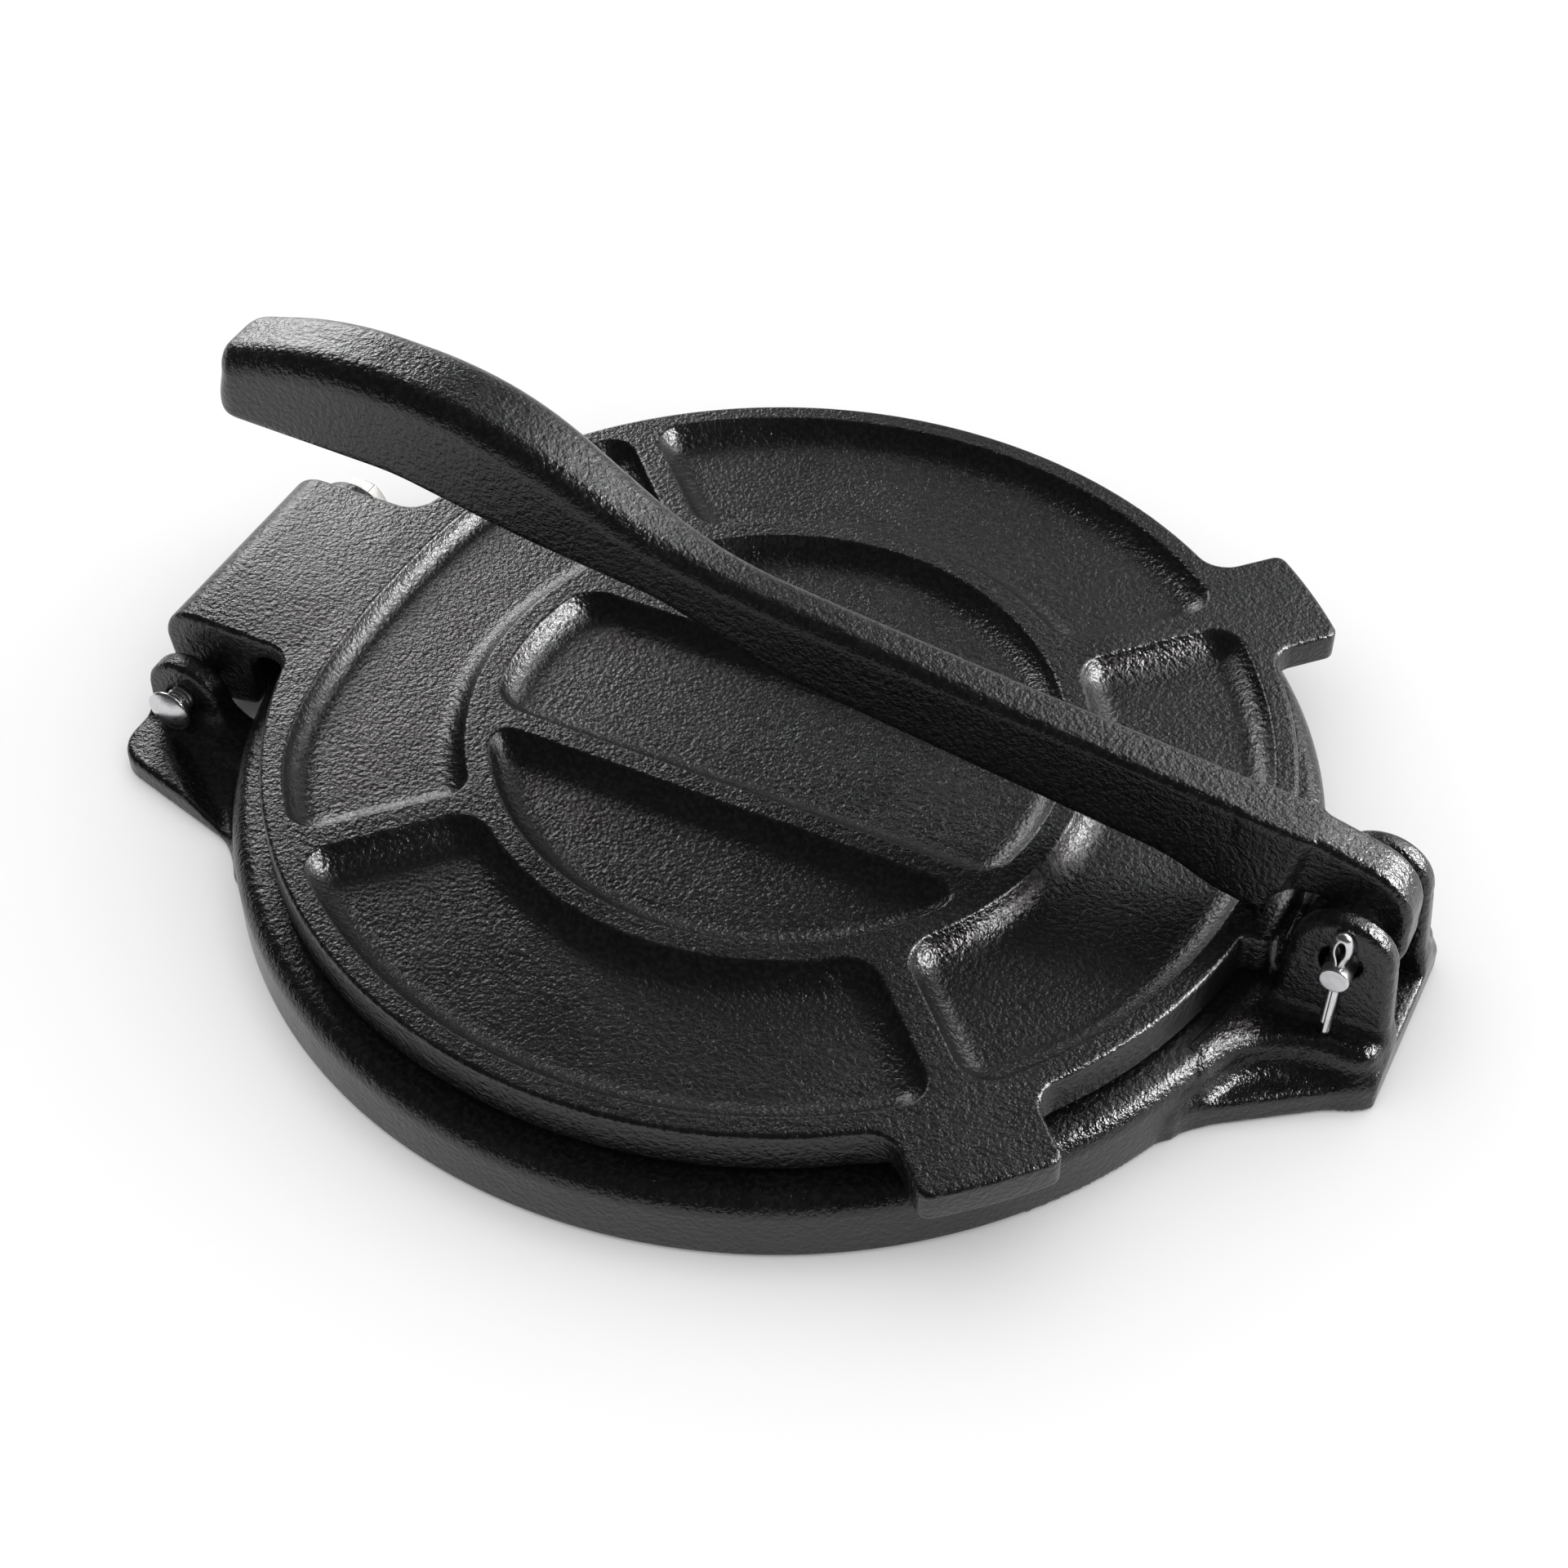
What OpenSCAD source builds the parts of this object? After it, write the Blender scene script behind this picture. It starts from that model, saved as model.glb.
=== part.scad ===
// Tortilla press: two round cast iron plates, a hinge on one side and a pressing lever on the other.
// Lengths are in millimetres and angles in degrees.
// The origin is on the table under the middle of the round plates, +Z is up,
// the lever's pivot is on the +X side and the hinge is on the -X side.
// Both castings are the same on the two sides of the XZ plane, apart from the flanges of the base.

/* [Top plate] */
// radius of the round top plate
plate_radius = 105; // [98:1:110]
// thickness of the top plate
plate_thickness = 9.6; // [9:0.2:11]
// depth of the pockets in the upper face
pocket_depth = 4.2; // [3.5:0.1:5]
// width of the rim left outside the pockets
rim_width = 4.2; // [3.6:0.1:6]
// radius of the raised ring round the centre, to its outer edge
ring_radius = 63.3; // [58:0.5:68]
// width of the raised ring and of the two ribs across it
ring_width = 3.9; // [3:0.1:5]
// half of the distance between the two cross ribs
band_half_width = 20.4; // [17:0.2:24]
// width of the four spokes between the ring and the rim
spoke_width = 4.7; // [3.6:0.1:6]
// angle of the two grip tabs and their spokes from the long axis
tab_angle = 45.5; // [44:0.1:47]
// how far the grip tabs stand out of the round plate
tab_reach = 15.8; // [10:0.2:18]
// half of the width of a grip tab
tab_half_width = 13.6; // [11:0.2:16]
// thickness of the grip tabs
tab_thickness = 7; // [5:0.2:8]
// how far the nose under the lever stands out of the round plate
nose_reach = 5; // [4:0.1:5.4]
// half of the width of the nose
nose_half_width = 12.5; // [10:0.5:14]

/* [Hinge] */
// distance from the round plate's edge to the hinge bolt
hinge_reach = 20.5; // [20:0.1:21]
// height of the hinge bolt above the table
hinge_height = 10.2; // [10.1:0.1:10.8]
// half of the width of the lug on the top plate
lug_half_width = 25.8; // [24:0.2:27.6]
// thickness of the lug's wall over the knuckle
lug_wall = 5; // [4:0.2:6]
// radius of the knuckle round the hinge bolt
knuckle_radius = 7.5; // [6.6:0.1:7.8]
// distance from the middle to the inner face of a hinge ear
hinge_ear_inner = 29; // [28:0.1:30]
// thickness of a hinge ear
hinge_ear_thickness = 5.7; // [4.5:0.1:6.5]
// radius of the top of a hinge ear
hinge_ear_radius = 9.2; // [8.4:0.1:9.4]
// thickness of the flange under the hinge ears
hinge_flange = 5; // [4.2:0.1:5]

/* [Base plate] */
// how far the base disc reaches past the top plate
base_overhang = 7.3; // [6:0.1:8]
// height of the base disc above the table
base_height = 15; // [14.6:0.1:15.6]
// radius of the rounded shoulder of the base disc
base_shoulder = 4.3; // [3:0.1:5]
// thickness of the floor over the hollow underside
base_floor = 6; // [5:0.2:8]
// thickness of the wall round the hollow underside
base_skirt = 6.5; // [5:0.5:9]
// gap left between the two closed plates
plate_gap = 1.4; // [1:0.1:1.8]

/* [Lever bracket] */
// distance from the round plate's edge to the lever pin
pivot_reach = 18.2; // [17.8:0.1:18.6]
// height of the lever pin above the top plate's upper face
pivot_rise = 1.2; // [1:0.1:1.6]
// thickness of the flange under the lever bracket
lever_flange = 6; // [5:0.2:7]
// height of the raised pad between the flange and the ears
pad_height = 12.5; // [11:0.5:13]
// half of the width of the raised pad
pad_half_width = 21.4; // [20:0.2:22]
// distance from the middle to the inner face of a bracket ear
ear_inner = 8.5; // [8.2:0.1:9]
// thickness of a bracket ear
ear_thickness = 5.2; // [4.4:0.1:5.6]
// radius of the top of a bracket ear
ear_radius = 10.2; // [9:0.1:10.4]
// height of the floor of the slot between the ears
slot_floor = 7.5; // [6.5:0.1:8]

/* [Lever] */
// radius of the eye round the lever pin
eye_radius = 9.9; // [8.5:0.1:10]
// half of the width of the lever at the eye
neck_half_width = 4.6; // [4:0.1:5.5]
// half of the width of the beam at its upper edge
beam_half_width = 5; // [4.4:0.1:6]
// how much wider the beam gets on each side per millimetre of depth
beam_draft = 0.11; // [0.05:0.01:0.12]
// half of the width of the grip
grip_half_width = 9.5; // [7.5:0.1:10]
// distance from the lever pin to the tip of the grip
lever_reach = 247.4; // [235:0.5:250]
// height of the grip's upper face above the lever pin
grip_height = 63; // [57:0.5:66]
// depth of the grip
grip_depth = 20.8; // [18:0.2:23]

/* [Fasteners] */
// radius of the hinge bolt, the lever pin and their threads
pin_radius = 2.95; // [2.7:0.05:3]
// radial clearance of the turning parts on the bolt and on the pin
running_clearance = 0.08; // [0.04:0.01:0.1]
// radius of the loose holes in the bracket ears
loose_hole_radius = 4.15; // [3.8:0.05:4.4]
// radius of the domed head of the hinge bolt
bolt_head_radius = 4.8; // [4.4:0.1:4.9]
// distance between the flats of the nut
nut_across_flats = 10; // [9.4:0.1:10.2]
// thickness of the nut
nut_thickness = 5; // [4:0.2:5.4]
// radius of the head of the lever pin
pin_head_radius = 5.2; // [4.6:0.1:5.6]
// radius of the wire of the split pin
wire_radius = 0.8; // [0.7:0.02:0.84]

/* [Hidden] */
$fn = 96;
eps = 0.01;
seat = 0.05;
// how far the end of a rounded root lies inside the disc it grows out of
sink = 0.05;
far = 400;

base_radius = plate_radius + base_overhang;
plate_bottom = base_height + plate_gap;
plate_top = plate_bottom + plate_thickness;
pocket_radius = plate_radius - rim_width;
ring_inner = ring_radius - ring_width;
edge_chamfer = 0.8;

hinge_x = -(plate_radius + hinge_reach);
hinge_end = hinge_reach + 10.5;
lug_end = hinge_reach + knuckle_radius;
lug_corner = 8;
lug_root = 7;
// the lug's inner face stands this far from the bolt, 2.3 mm clear of the base disc
knuckle_wall = hinge_reach - base_overhang - 2.3;

pivot_x = plate_radius + pivot_reach;
pivot_z = plate_top + pivot_rise;
bracket_end = pivot_x + 12.8;
hole_z = pivot_z + loose_hole_radius - pin_radius - seat / 2;

beam_slope = 7.45;
under_slope = 8.73;
shoulder_reach = 17.2;
shoulder_height = 20.5;
heel_reach = 17.6;
heel_drop = 0.8;
bend_reach = 140;
bend_end = 172;

// The point where a line from p touches a circle of radius r about c, on side s.
function tangent(p, c, r, s) =
  let(d = c - p, l = norm(d), a = atan2(d[1], d[0]), b = asin(r / l))
  p + sqrt(l * l - r * r) * [cos(a + s * b), sin(a + s * b)];

// The points of one rounded corner q, between the corners p and n.
function corner(p, q, n, r) =
  let(u = (p - q) / norm(p - q), v = (n - q) / norm(n - q))
  let(half = acos(u * v) / 2, m = (u + v) / norm(u + v))
  let(c = q + m * r / sin(half), a = q + u * r / tan(half), b = q + v * r / tan(half))
  let(start = atan2(a[1] - c[1], a[0] - c[0]), stop = atan2(b[1] - c[1], b[0] - c[0]))
  let(turn = (stop - start + 540) % 360 - 180, steps = max(3, ceil(abs(turn) / 9)))
  [for (i = [0 : steps]) c + r * [cos(start + turn * i / steps), sin(start + turn * i / steps)]];

// A closed outline with every corner rounded by its own radius, given as x, y and radius.
function rounded(list) =
  let(n = len(list))
  [for (i = [0 : n - 1])
    let(p = list[(i + n - 1) % n], q = list[i], t = list[(i + 1) % n])
    for (e = corner([p[0], p[1]], [q[0], q[1]], [t[0], t[1]], q[2])) e];

// Puts a flat outline drawn in x and z upright, as thick as w about the XZ plane.
module upright(w) {
  rotate([90, 0, 0]) linear_extrude(height = w, center = true) children();
}

// A round bar along Y from y0 to y1 at the place x, z.
module bar_y(x, z, y0, y1, r) {
  translate([x, y1, z]) rotate([90, 0, 0]) cylinder(r = r, h = y1 - y0);
}

// The same thing drawn on both sides of the XZ plane.
module both_sides() {
  children();
  mirror([0, 1, 0]) children();
}

// Points on a circle of radius r about c, from angle a0 to angle a1, in n steps.
function arc(c, r, a0, a1, n) = [for (i = [0 : n]) c + r * [cos(a0 + (a1 - a0) * i / n), sin(a0 + (a1 - a0) * i / n)]];

// A list of points in the opposite order, seen in a mirror along the X axis.
function mirrored(list) = [for (i = [len(list) - 1 : -1 : 0]) [list[i][0], -list[i][1]]];

// The angle of a point, seen from the middle.
function angle(c) = atan2(c[1], c[0]);

// The concave corner of radius r between the line y = p and a disc of radius rd, from the line to the disc.
function root(rd, p, r) =
  let(c = [sqrt(pow(rd - sink + r, 2) - pow(p + r, 2)), p + r])
  arc(c, r, 270, angle(c) + 180, 8);

// A grip tab lying along +X, out to the radius r, before it is turned into place.
module tab_outline(r, w) {
  rc = 2.5;
  c = [sqrt(pow(r - rc, 2) - pow(w - rc, 2)), w - rc];
  upper = concat(arc([0, 0], r, 0, angle(c), 3), arc(c, rc, angle(c), 90, 6), root(plate_radius, w, 6.5),
    [[plate_radius - 12, w]]);
  polygon(concat(upper, mirrored(upper)));
}

// The middle pocket, between the two cross ribs.
module band_pocket() {
  rc = 5.5;
  c = [sqrt(pow(ring_inner - rc, 2) - pow(band_half_width - rc, 2)), band_half_width - rc];
  quarter = concat(arc([0, 0], ring_inner, 0, angle(c), 6), arc(c, rc, angle(c) + 6, 90, 7));
  half = concat(quarter, [for (i = [len(quarter) - 1 : -1 : 0]) [-quarter[i][0], quarter[i][1]]]);
  polygon(concat(half, mirrored(half)));
}

// The pocket inside the ring on the +Y side of the cross ribs.
module segment_pocket() {
  rc = 7.4;
  w = band_half_width + ring_width;
  c = [sqrt(pow(ring_inner - rc, 2) - pow(w + rc, 2)), w + rc];
  b = angle(c);
  polygon(concat(arc([0, 0], ring_inner, b, 180 - b, 36), arc([-c[0], c[1]], rc, 174 - b, 270, 9),
    arc(c, rc, 270, 354 + b, 9)));
}

// An outer pocket between two spokes. The pocket starts at the distance o past the line
// through the middle at angle a1, and ends at the distance o before the line at angle a2.
module outer_pocket(a1, a2, o, r_out, r_in) {
  n1 = [-sin(a1), cos(a1)];
  n2 = [sin(a2), -cos(a2)];
  u1 = [cos(a1), sin(a1)];
  u2 = [cos(a2), sin(a2)];
  outer = sqrt(pow(pocket_radius - r_out, 2) - pow(o + r_out, 2));
  inner = sqrt(pow(ring_radius + r_in, 2) - pow(o + r_in, 2));
  // turn of the four corners' middles away from the two lines
  t_out = atan2(o + r_out, outer);
  t_in = atan2(o + r_in, inner);
  polygon(concat(
    arc(outer * u1 + (o + r_out) * n1, r_out, a1 - 90, a1 + t_out, 7),
    arc([0, 0], pocket_radius, a1 + t_out + 1, a2 - t_out - 1, 24),
    arc(outer * u2 + (o + r_out) * n2, r_out, a2 - t_out, a2 + 90, 7),
    arc(inner * u2 + (o + r_in) * n2, r_in, a2 + 90, a2 - t_in + 180, 6),
    arc([0, 0], ring_radius, a2 - t_in - 1, a1 + t_in + 1, 20),
    arc(inner * u1 + (o + r_in) * n1, r_in, a1 + t_in + 180, a1 + 270, 6)
  ));
}

// Round base disc with a hollow underside.
module base_disc() {
  difference() {
    rotate_extrude() {
      square([base_radius - base_shoulder, base_height]);
      square([base_radius, base_height - base_shoulder]);
      translate([base_radius - base_shoulder, base_height - base_shoulder]) circle(r = base_shoulder);
    }
    rotate_extrude() {
      r = base_radius - base_skirt;
      h = base_height - base_floor;
      polygon([[0, -1], [r + 1, -1], [r - 1.2, h - 3], [r - 3, h], [0, h]]);
    }
  }
}

// Flat outline of the flange under one hinge ear, on the -Y side. Its slanted side lies
// at the distance p from the middle.
module hinge_flange_outline(p) {
  slant = 15.2;
  rc = 8;
  rf = 22;
  x_end = plate_radius + hinge_end;
  // the slanted side is square to the direction n
  n = [-sin(slant), -cos(slant)];
  u = [-cos(slant), sin(slant)];
  c = [rc - x_end, -((p - rc) + (rc - x_end) * sin(slant)) / cos(slant)];
  f = (p + rf) * n + sqrt(pow(base_radius - sink + rf, 2) - pow(p + rf, 2)) * u;
  polygon(concat(
    [[-plate_radius + 12, -hinge_ear_inner], [-x_end, -hinge_ear_inner]],
    arc(c, rc, 180, 270 - slant, 7),
    arc(f, rf, 90 - slant, angle(f) + 180, 8),
    [[-plate_radius + 25, -hinge_ear_inner - 12]]
  ));
}

// One hinge ear seen from the side.
module hinge_ear_outline() {
  c = [hinge_x, hinge_height];
  left = [-plate_radius - hinge_end + 0.7, 1];
  right = [hinge_x + hinge_ear_radius + 2.6, 1];
  translate(c) circle(r = hinge_ear_radius);
  polygon([left, tangent(left, c, hinge_ear_radius, 1), c, tangent(right, c, hinge_ear_radius, -1), right]);
}

// One side of the flange under the lever bracket, with the end corner rounded by rc.
function lever_flange_half(rc) =
  let(slant = 35.1, p = base_radius * 0.8397, rf = 5)
  let(n = [sin(slant), cos(slant)], u = [cos(slant), -sin(slant)])
  let(c = [bracket_end - rc, ((p - rc) - (bracket_end - rc) * sin(slant)) / cos(slant)])
  let(f = (p + rf) * n + sqrt(pow(base_radius - sink + rf, 2) - pow(p + rf, 2)) * u)
  concat(arc(c, rc, 0, 90 - slant, 5), arc(f, rf, 270 - slant, angle(f) + 180, 6), [[plate_radius - 20, 20]]);

// Flat outline of the flange under the lever bracket. Its near end corner is tighter than its far one.
module lever_flange_outline() {
  near_corner = 3;
  far_corner = 12;
  polygon(concat(lever_flange_half(far_corner), mirrored(lever_flange_half(near_corner))));
}

// Flat outline of the raised pad of the lever bracket.
module pad_outline() {
  rc = 5;
  c = [bracket_end - 1 - rc, pad_half_width - rc];
  upper = concat(arc(c, rc, 0, 90, 6), root(base_radius, pad_half_width, 22), [[plate_radius - 12, 15]]);
  polygon(concat(upper, mirrored(upper)));
}

// One bracket ear seen from the side.
module bracket_ear_outline() {
  c = [pivot_x, hole_z];
  left = [pivot_x - ear_radius - 1.7, pad_height - 3];
  right = [bracket_end - 0.4, lever_flange - 1];
  translate(c) circle(r = ear_radius);
  polygon([left, tangent(left, c, ear_radius, 1), c, tangent(right, c, ear_radius, -1), right]);
}

// Base casting: disc, hinge ears on their flanges and the bracket that carries the lever.
module base() {
  end_round = 4;
  color([0.13, 0.13, 0.14]) difference() {
    union() {
      difference() {
        union() {
          base_disc();
          difference() {
            union() {
              linear_extrude(height = lever_flange) lever_flange_outline();
              linear_extrude(height = pad_height) pad_outline();
              linear_extrude(height = hinge_flange) hinge_flange_outline(base_radius * 0.735);
              // the far flange is narrower
              mirror([0, 1, 0]) linear_extrude(height = hinge_flange) hinge_flange_outline(base_radius * 0.681);
            }
            translate([0, 0, -1]) cylinder(r = base_radius - base_shoulder - 1, h = plate_top);
          }
        }
        // slot between the bracket ears, with its outer end rounded
        difference() {
          translate([pivot_x - ear_radius - 1.2, -ear_inner, slot_floor - end_round])
            cube([far, 2 * ear_inner, plate_top]);
          translate([pivot_x - far, -far / 2, 0]) cube([far + bracket_end - end_round - pivot_x, far, slot_floor]);
          bar_y(bracket_end - end_round, slot_floor - end_round, -far / 2, far / 2, end_round);
        }
      }
      both_sides() translate([0, ear_inner + ear_thickness / 2, 0]) upright(ear_thickness) bracket_ear_outline();
      both_sides() translate([0, hinge_ear_inner + hinge_ear_thickness / 2, 0])
        upright(hinge_ear_thickness) hinge_ear_outline();
    }
    bar_y(pivot_x, hole_z, -far / 2, far / 2, loose_hole_radius);
    bar_y(hinge_x, hinge_height, -far / 2, far / 2, pin_radius + seat);
  }
}

// Hinge lug of the top plate seen from the side.
module lug_outline() {
  x_in = hinge_x + knuckle_wall;
  x_out = -plate_radius - lug_end;
  xr = -plate_radius + 4;
  zc = plate_top - lug_corner;
  wall = plate_top - lug_wall;
  rc = 4.5;
  translate([x_out + lug_corner, zc]) circle(r = lug_corner);
  polygon([[x_out + lug_corner, plate_top], [x_out + lug_corner, zc], [x_out, zc], [x_out, hinge_height],
    [x_in, hinge_height], [x_in, wall - rc], [x_in + rc, wall], [xr, wall], [xr, plate_top]]);
  difference() {
    polygon([[x_in - eps, wall - rc], [x_in - eps, wall + eps], [x_in + rc, wall + eps], [x_in + rc, wall],
      [x_in + rc, wall - rc]]);
    translate([x_in + rc, wall - rc]) circle(r = rc);
  }
  translate([hinge_x, hinge_height]) circle(r = knuckle_radius);
}

// Flat outline of the lug where it grows out of the round plate.
module lug_root_outline() {
  upper = concat([[plate_radius + 9, lug_half_width]], root(plate_radius, lug_half_width, lug_root),
    [[plate_radius - 12, lug_half_width]]);
  mirror([1, 0]) polygon(concat(upper, mirrored(upper)));
}

// Flat outline of the nose.
module nose_outline() {
  rc = 4;
  c = [plate_radius + nose_reach - rc, nose_half_width - rc];
  upper = concat(arc(c, rc, 0, 90, 6), [[plate_radius - 12, nose_half_width]]);
  polygon(concat(upper, mirrored(upper)));
}

// Pockets in the upper face of the top plate.
module pocket_outlines() {
  half = spoke_width / 2;
  band_pocket();
  for (s = [0, 1]) mirror([0, s]) {
    segment_pocket();
    // near and far pockets
    outer_pocket(tab_angle, 180 - tab_angle, half, 6, 5);
  }
  // pocket on the lever side
  outer_pocket(-tab_angle, tab_angle, half, 7, 4);
  // pocket on the hinge side, with its outer edge cut straight beside the lug
  difference() {
    outer_pocket(180 - tab_angle, 180 + tab_angle, half, 4.5, 4.5);
    translate([-pocket_radius - 10, -50]) square([10 + pocket_radius * 0.038, 100]);
  }
}

// Top casting: plate with pockets, two grip tabs, the hinge lug and the nose under the lever.
module top_plate() {
  nose_end = plate_radius + nose_reach;
  color([0.15, 0.15, 0.16]) difference() {
    union() {
      translate([0, 0, plate_bottom]) rotate_extrude() {
        square([plate_radius - edge_chamfer, plate_thickness]);
        translate([0, edge_chamfer]) square([plate_radius, plate_thickness - 2 * edge_chamfer]);
        polygon([[0, 0], [plate_radius - edge_chamfer, 0], [plate_radius, edge_chamfer],
          [plate_radius, plate_thickness - edge_chamfer], [plate_radius - edge_chamfer, plate_thickness]]);
      }
      for (s = [-1, 1]) rotate([0, 0, s * tab_angle]) difference() {
        translate([0, 0, plate_top - tab_thickness]) linear_extrude(height = tab_thickness)
          tab_outline(plate_radius + tab_reach, tab_half_width);
        translate([0, 0, plate_bottom]) cylinder(r = plate_radius - 3, h = 2 * plate_thickness);
      }
      upright(2 * lug_half_width) lug_outline();
      difference() {
        translate([0, 0, plate_top - lug_wall]) linear_extrude(height = lug_wall) lug_root_outline();
        translate([0, 0, plate_bottom]) cylinder(r = plate_radius - 3, h = 2 * plate_thickness);
      }
      intersection() {
        translate([0, 0, plate_bottom]) linear_extrude(height = plate_thickness) nose_outline();
        upright(4 * nose_half_width) polygon(concat(
          arc([nose_end - 3, plate_top - 3], 3, 0, 90, 6),
          [[plate_radius - 15, plate_top], [plate_radius - 15, plate_bottom], [nose_end, plate_bottom]]
        ));
      }
    }
    translate([0, 0, plate_top - pocket_depth]) linear_extrude(height = pocket_depth + 1) pocket_outlines();
    bar_y(hinge_x, hinge_height, -far / 2, far / 2, pin_radius + running_clearance);
  }
}

// Side outline of the lever about its pin, with the grip towards -X.
module lever_side() {
  // height of the straight upper edge of the beam at the distance x from the pin
  function over(x) = shoulder_height + (x - shoulder_reach) * tan(beam_slope);
  // height of the straight lower edge of the beam at the distance x from the pin
  function under(x) = 5.6 + (x - 38) * tan(under_slope);
  // distances from the pin to the highest place of the grip and to the rounded place before it
  crown = lever_reach - 25.4;
  rise = bend_reach + 0.537 * (crown - bend_reach);
  // distance from the bend to the highest place, which the radii between them grow with
  span = crown - bend_reach;
  polygon(rounded([
    [-heel_reach, -heel_drop, 1],
    [-heel_reach + 1.6, 5.2, 2.5],
    [-6, 6.5, 3],
    [3, -3, 1],
    [eye_radius - 0.18, -2, 0.3],
    [eye_radius + 0.1, 14.9, 12],
    [-10.5, 20.2, 25],
    [-bend_reach / 2, over(bend_reach / 2), 200],
    [-bend_reach, over(bend_reach) + 0.4, 1.1 * span],
    [-rise, grip_height - 0.8, 0.95 * span],
    [-crown, grip_height + 1.2, 0.9 * span],
    [-lever_reach + 1.4, grip_height - 5.7, 5],
    [-lever_reach, grip_height - grip_depth, 3.2],
    [-lever_reach + 42.4, grip_height - grip_depth - 1.2, 60],
    [-bend_reach - 8, under(bend_reach - 16) + 10.1, 60],
    [-bend_reach + 16, under(bend_reach - 16), 60],
    [-38, under(38), 30],
    [-28, under(38) - 4.3, 12]
  ]));
  circle(r = eye_radius);
}

// Lever casting: eye, cranked beam and raised grip.
module lever() {
  step_reach = 14.5;
  grip_start = bend_reach - 12;
  grip_full = bend_end + 12;
  tip = lever_reach;
  color([0.16, 0.16, 0.17]) translate([pivot_x, 0, pivot_z]) difference() {
    intersection() {
      upright(4 * grip_half_width) lever_side();
      union() {
        // thin neck with the eye
        translate([-step_reach - 3, -neck_half_width, -far / 2]) cube([far, 2 * neck_half_width, far]);
        // beam, wider towards its lower edge
        intersection() {
          translate([-shoulder_reach, 0, shoulder_height]) rotate([0, beam_slope, 0]) rotate([90, 0, -90])
            linear_extrude(height = far, center = true)
              polygon([[-beam_half_width, 10], [beam_half_width, 10], [beam_half_width, 0],
                [beam_half_width + 30 * beam_draft, -30], [-beam_half_width - 30 * beam_draft, -30],
                [-beam_half_width, 0]]);
          translate([-grip_start - 22, -far / 2, -far / 2]) cube([grip_start + 22 - step_reach, far, far]);
        }
        // grip, seen from above
        translate([0, 0, -far / 2]) linear_extrude(height = far) polygon(rounded([
          [-grip_start, -beam_half_width, 4],
          [-grip_full, -grip_half_width, 60],
          [-tip - 0.2, -grip_half_width, 5],
          [-tip - 0.2, grip_half_width, 5],
          [-grip_full, grip_half_width, 60],
          [-grip_start, beam_half_width, 4]
        ]));
      }
    }
    bar_y(0, 0, -far / 2, far / 2, pin_radius + running_clearance);
  }
}

// Hinge bolt with a domed head on the near side and a thread that takes the nut on the far side.
module hinge_bolt() {
  head_face = -(hinge_ear_inner + hinge_ear_thickness + 3.6);
  thread_end = hinge_ear_inner + hinge_ear_thickness + nut_thickness + 1.6;
  head_height = 2.7;
  dome = (pow(bolt_head_radius, 2) + pow(head_height - 0.8, 2)) / (2 * (head_height - 0.8));
  color([0.78, 0.79, 0.8]) {
    bar_y(hinge_x, hinge_height, head_face - eps, thread_end, pin_radius);
    intersection() {
      bar_y(hinge_x, hinge_height, head_face - head_height - 1, head_face, bolt_head_radius);
      translate([hinge_x, head_face - head_height + dome, hinge_height]) sphere(r = dome);
    }
  }
}

// Hexagonal nut on the far end of the hinge bolt.
module hex_nut() {
  y0 = hinge_ear_inner + hinge_ear_thickness;
  color([0.76, 0.77, 0.78]) difference() {
    translate([hinge_x, y0 + nut_thickness, hinge_height]) rotate([90, 0, 0]) rotate([0, 0, 0])
      cylinder(r = nut_across_flats / 2 / cos(30), h = nut_thickness, $fn = 6);
    bar_y(hinge_x, hinge_height, y0 - 1, y0 + nut_thickness + 1, pin_radius + seat);
  }
}

// Lever pin with a flat head on the far side and a cross hole near its plain end.
module lever_pin() {
  head_face = ear_inner + ear_thickness + 0.5;
  near_end = -(ear_inner + ear_thickness + 3.8);
  color([0.8, 0.8, 0.82]) difference() {
    union() {
      bar_y(pivot_x, pivot_z, near_end, head_face + eps, pin_radius);
      bar_y(pivot_x, pivot_z, head_face, head_face + 2.6, pin_head_radius);
    }
    translate([pivot_x, near_end + 2, pivot_z - far / 2]) cylinder(r = 2 * wire_radius + 0.12, h = far);
  }
}

// Split pin: a round loop above the lever pin and two legs below it.
module split_pin() {
  y0 = -(ear_inner + ear_thickness + 1.8);
  loop_radius = 1.9;
  knot_radius = wire_radius * 1.03;
  side = wire_radius + 0.05;
  loop_z = 8.1;
  joint_angle = asin(side / loop_radius);
  leg_top = loop_z - sqrt(pow(loop_radius, 2) - pow(side, 2));
  bend_z = -pin_radius - 0.9;
  color([0.84, 0.84, 0.86]) translate([pivot_x, y0, pivot_z]) {
    translate([0, 0, loop_z]) rotate([90, 0, 0]) rotate([0, 0, -90 + joint_angle])
      rotate_extrude(angle = 360 - 2 * joint_angle) translate([loop_radius, 0]) circle(r = wire_radius, $fn = 24);
    for (s = [-1, 1]) {
      long = s > 0 ? 13.2 - pin_radius : 10.4 - pin_radius;
      translate([s * side, 0, leg_top]) sphere(r = knot_radius, $fn = 24);
      translate([s * side, 0, bend_z]) cylinder(r = wire_radius, h = leg_top - bend_z, $fn = 24);
      translate([s * side, 0, bend_z]) sphere(r = knot_radius, $fn = 24);
      translate([s * side, 0, bend_z]) rotate([180 - (s > 0 ? 14 : 6), s * 4, 0])
        cylinder(r = wire_radius, h = long, $fn = 24);
    }
  }
}

base();
top_plate();
lever();
hinge_bolt();
hex_nut();
lever_pin();
split_pin();
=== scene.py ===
import math

import bmesh
import bpy
import numpy as np
from mathutils import Matrix, Vector
from mathutils.geometry import delaunay_2d_cdt


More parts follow.
